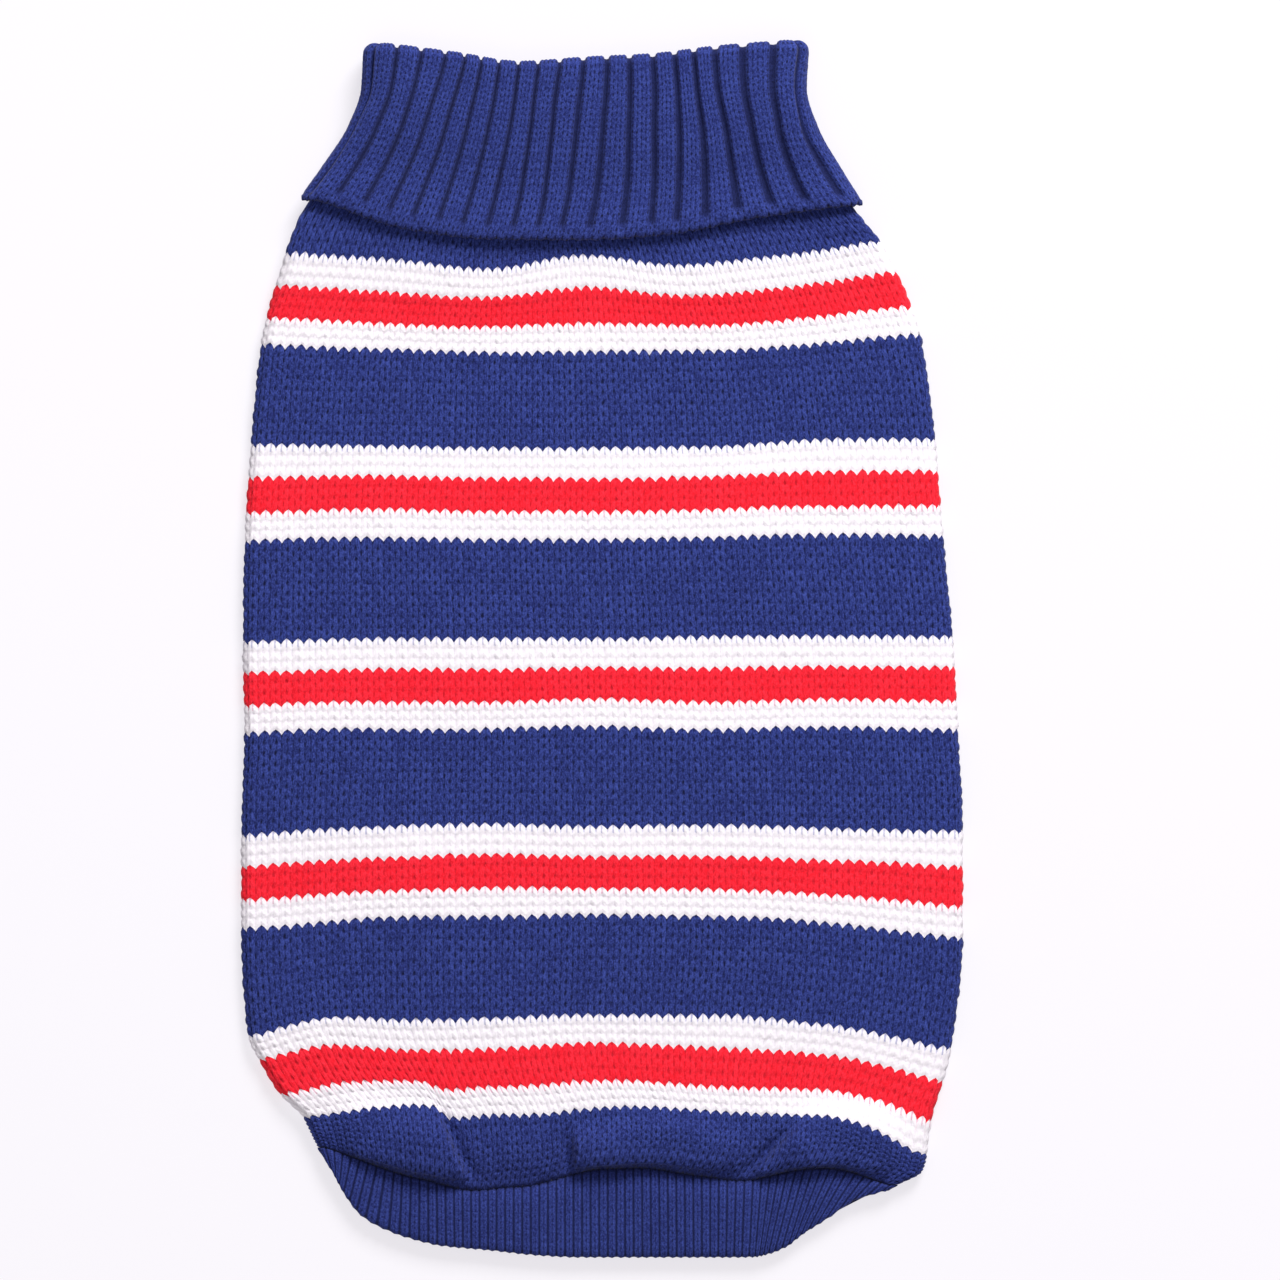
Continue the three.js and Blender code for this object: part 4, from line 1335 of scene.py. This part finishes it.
class SWEATER_OT_hem(bpy.types.Operator):
    """Knit the hem band"""
    bl_idname = "sweater.hem"
    bl_label = "Hem Band"

    def execute(self, context):
        piece = make_hem(context.scene.sweater_sizes)
        colours = context.scene.sweater_colours
        # Painted shade in the band's first courses, in the crease under the body's roll at the seam
        piece.data.materials.append(yarn(
            "navy fine rib yarn", colours.navy, colours.navy_light, colours.navy_crevice_shade,
            hole_shade=0.8, rib_wales=2, furrow_shade=0.78, seams=((0.7, 0.0),), stitch_size=1.6))
        declare(piece, "hem_band")
        return {"FINISHED"}


class SWEATER_OT_leg_bands(bpy.types.Operator):
    """Knit a band for each leg opening"""
    bl_idname = "sweater.leg_bands"
    bl_label = "Leg Bands"

    def execute(self, context):
        for name, side in (("left", -1), ("right", 1)):
            piece = make_leg_band(side, f"rib_leg_{name}")
            piece.data.materials.append(bpy.data.materials["navy fine rib yarn"])
            declare(piece, f"leg_band_{name}")
        return {"FINISHED"}


# The photo's frame, in pixels, the width of a pixel on the cloth, and where the garment's origin lies
PHOTO_SIDE = 1280
PIXEL = 0.306 * MM
ORIGIN_IN_PHOTO = (602.0, 649.5)
# How high the camera stands above the cloth's top, where a pixel is as wide as that
CAMERA_HEIGHT = 4.0
CLOTH_PLANE = 6 * MM
SENSOR = 36.0


class SWEATER_OT_stage(bpy.types.Operator):
    """Lay a pale floor, light it softly and look straight down"""
    bl_idname = "sweater.stage"
    bl_label = "Stage"

    def execute(self, context):
        scene = context.scene
        bpy.ops.object.select_all(action="DESELECT")
        bpy.ops.mesh.primitive_plane_add(size=20, location=(0, 0, -0.2 * MM))
        floor = context.object
        floor.name = "floor"
        bpy.ops.object.transform_apply(location=True)
        material = bpy.data.materials.new("matt white paper")
        material.use_nodes = True
        shader = material.node_tree.nodes["Principled BSDF"]
        shader.inputs["Base Color"].default_value = (*scene.sweater_colours.floor, 1)
        shader.inputs["Roughness"].default_value = 0.9
        shader.inputs["Specular IOR Level"].default_value = 0.1
        shader.inputs["Emission Color"].default_value = (*linear_colour("#FBF8FD"), 1)
        shader.inputs["Emission Strength"].default_value = 0.72
        floor.data.materials.append(material)

        world = bpy.data.worlds.new("soft studio")
        world.use_nodes = True
        background = world.node_tree.nodes["Background"]
        background.inputs["Color"].default_value = (*linear_colour("#FBF9FE"), 1)
        background.inputs["Strength"].default_value = 0.34
        scene.world = world

        lamps = (
            ("key softbox", (0.6, 1.5, 1.3), 0.8, 50.0),
            ("top softbox", (-0.2, -0.5, 2.6), 1.6, 13.0),
        )
        for name, place, size, power in lamps:
            bpy.ops.object.light_add(type="AREA", location=place)
            lamp = context.object
            lamp.name = name
            lamp.data.size = size
            lamp.data.energy = power
            lamp.rotation_euler = Vector(place).to_track_quat("Z", "Y").to_euler()
            lamp.visible_camera = False

        centre_x = (PHOTO_SIDE / 2 - ORIGIN_IN_PHOTO[0]) * PIXEL
        centre_y = (ORIGIN_IN_PHOTO[1] - PHOTO_SIDE / 2) * PIXEL
        height = CAMERA_HEIGHT + CLOTH_PLANE
        bpy.ops.object.camera_add(location=(centre_x, centre_y, height), rotation=(0, 0, 0))
        camera = context.object
        camera.data.sensor_width = SENSOR
        camera.data.lens = SENSOR * CAMERA_HEIGHT / (PHOTO_SIDE * PIXEL)
        camera.data.clip_end = 100
        scene.camera = camera
        scene.view_settings.view_transform = "Standard"
        return {"FINISHED"}


class SWEATER_PT_panel(bpy.types.Panel):
    """Sidebar panel that knits the sweater piece by piece"""
    bl_idname = "SWEATER_PT_panel"
    bl_label = "Dog Sweater"
    bl_space_type = "VIEW_3D"
    bl_region_type = "UI"
    bl_category = "Sweater"

    def draw(self, context):
        layout = self.layout
        for group in (context.scene.sweater_sizes, context.scene.sweater_colours):
            for name in group.__annotations__:
                layout.prop(group, name)
        for step in STEPS:
            layout.operator(step.bl_idname)


STEPS = (
    SWEATER_OT_stage,
    SWEATER_OT_back,
    SWEATER_OT_belly,
    SWEATER_OT_collar,
    SWEATER_OT_hem,
    SWEATER_OT_leg_bands,
)
CLASSES = (SweaterSizes, SweaterColours, *STEPS, SWEATER_PT_panel)


def register():
    for cls in CLASSES:
        bpy.utils.register_class(cls)
    bpy.types.Scene.sweater_sizes = bpy.props.PointerProperty(type=SweaterSizes)
    bpy.types.Scene.sweater_colours = bpy.props.PointerProperty(type=SweaterColours)


def unregister():
    del bpy.types.Scene.sweater_colours
    del bpy.types.Scene.sweater_sizes
    for cls in reversed(CLASSES):
        bpy.utils.unregister_class(cls)


def main():
    register()
    bpy.ops.sweater.stage()
    bpy.ops.sweater.back()
    bpy.ops.sweater.belly()
    bpy.ops.sweater.collar()
    bpy.ops.sweater.hem()
    bpy.ops.sweater.leg_bands()


if __name__ == "__main__":
    main()
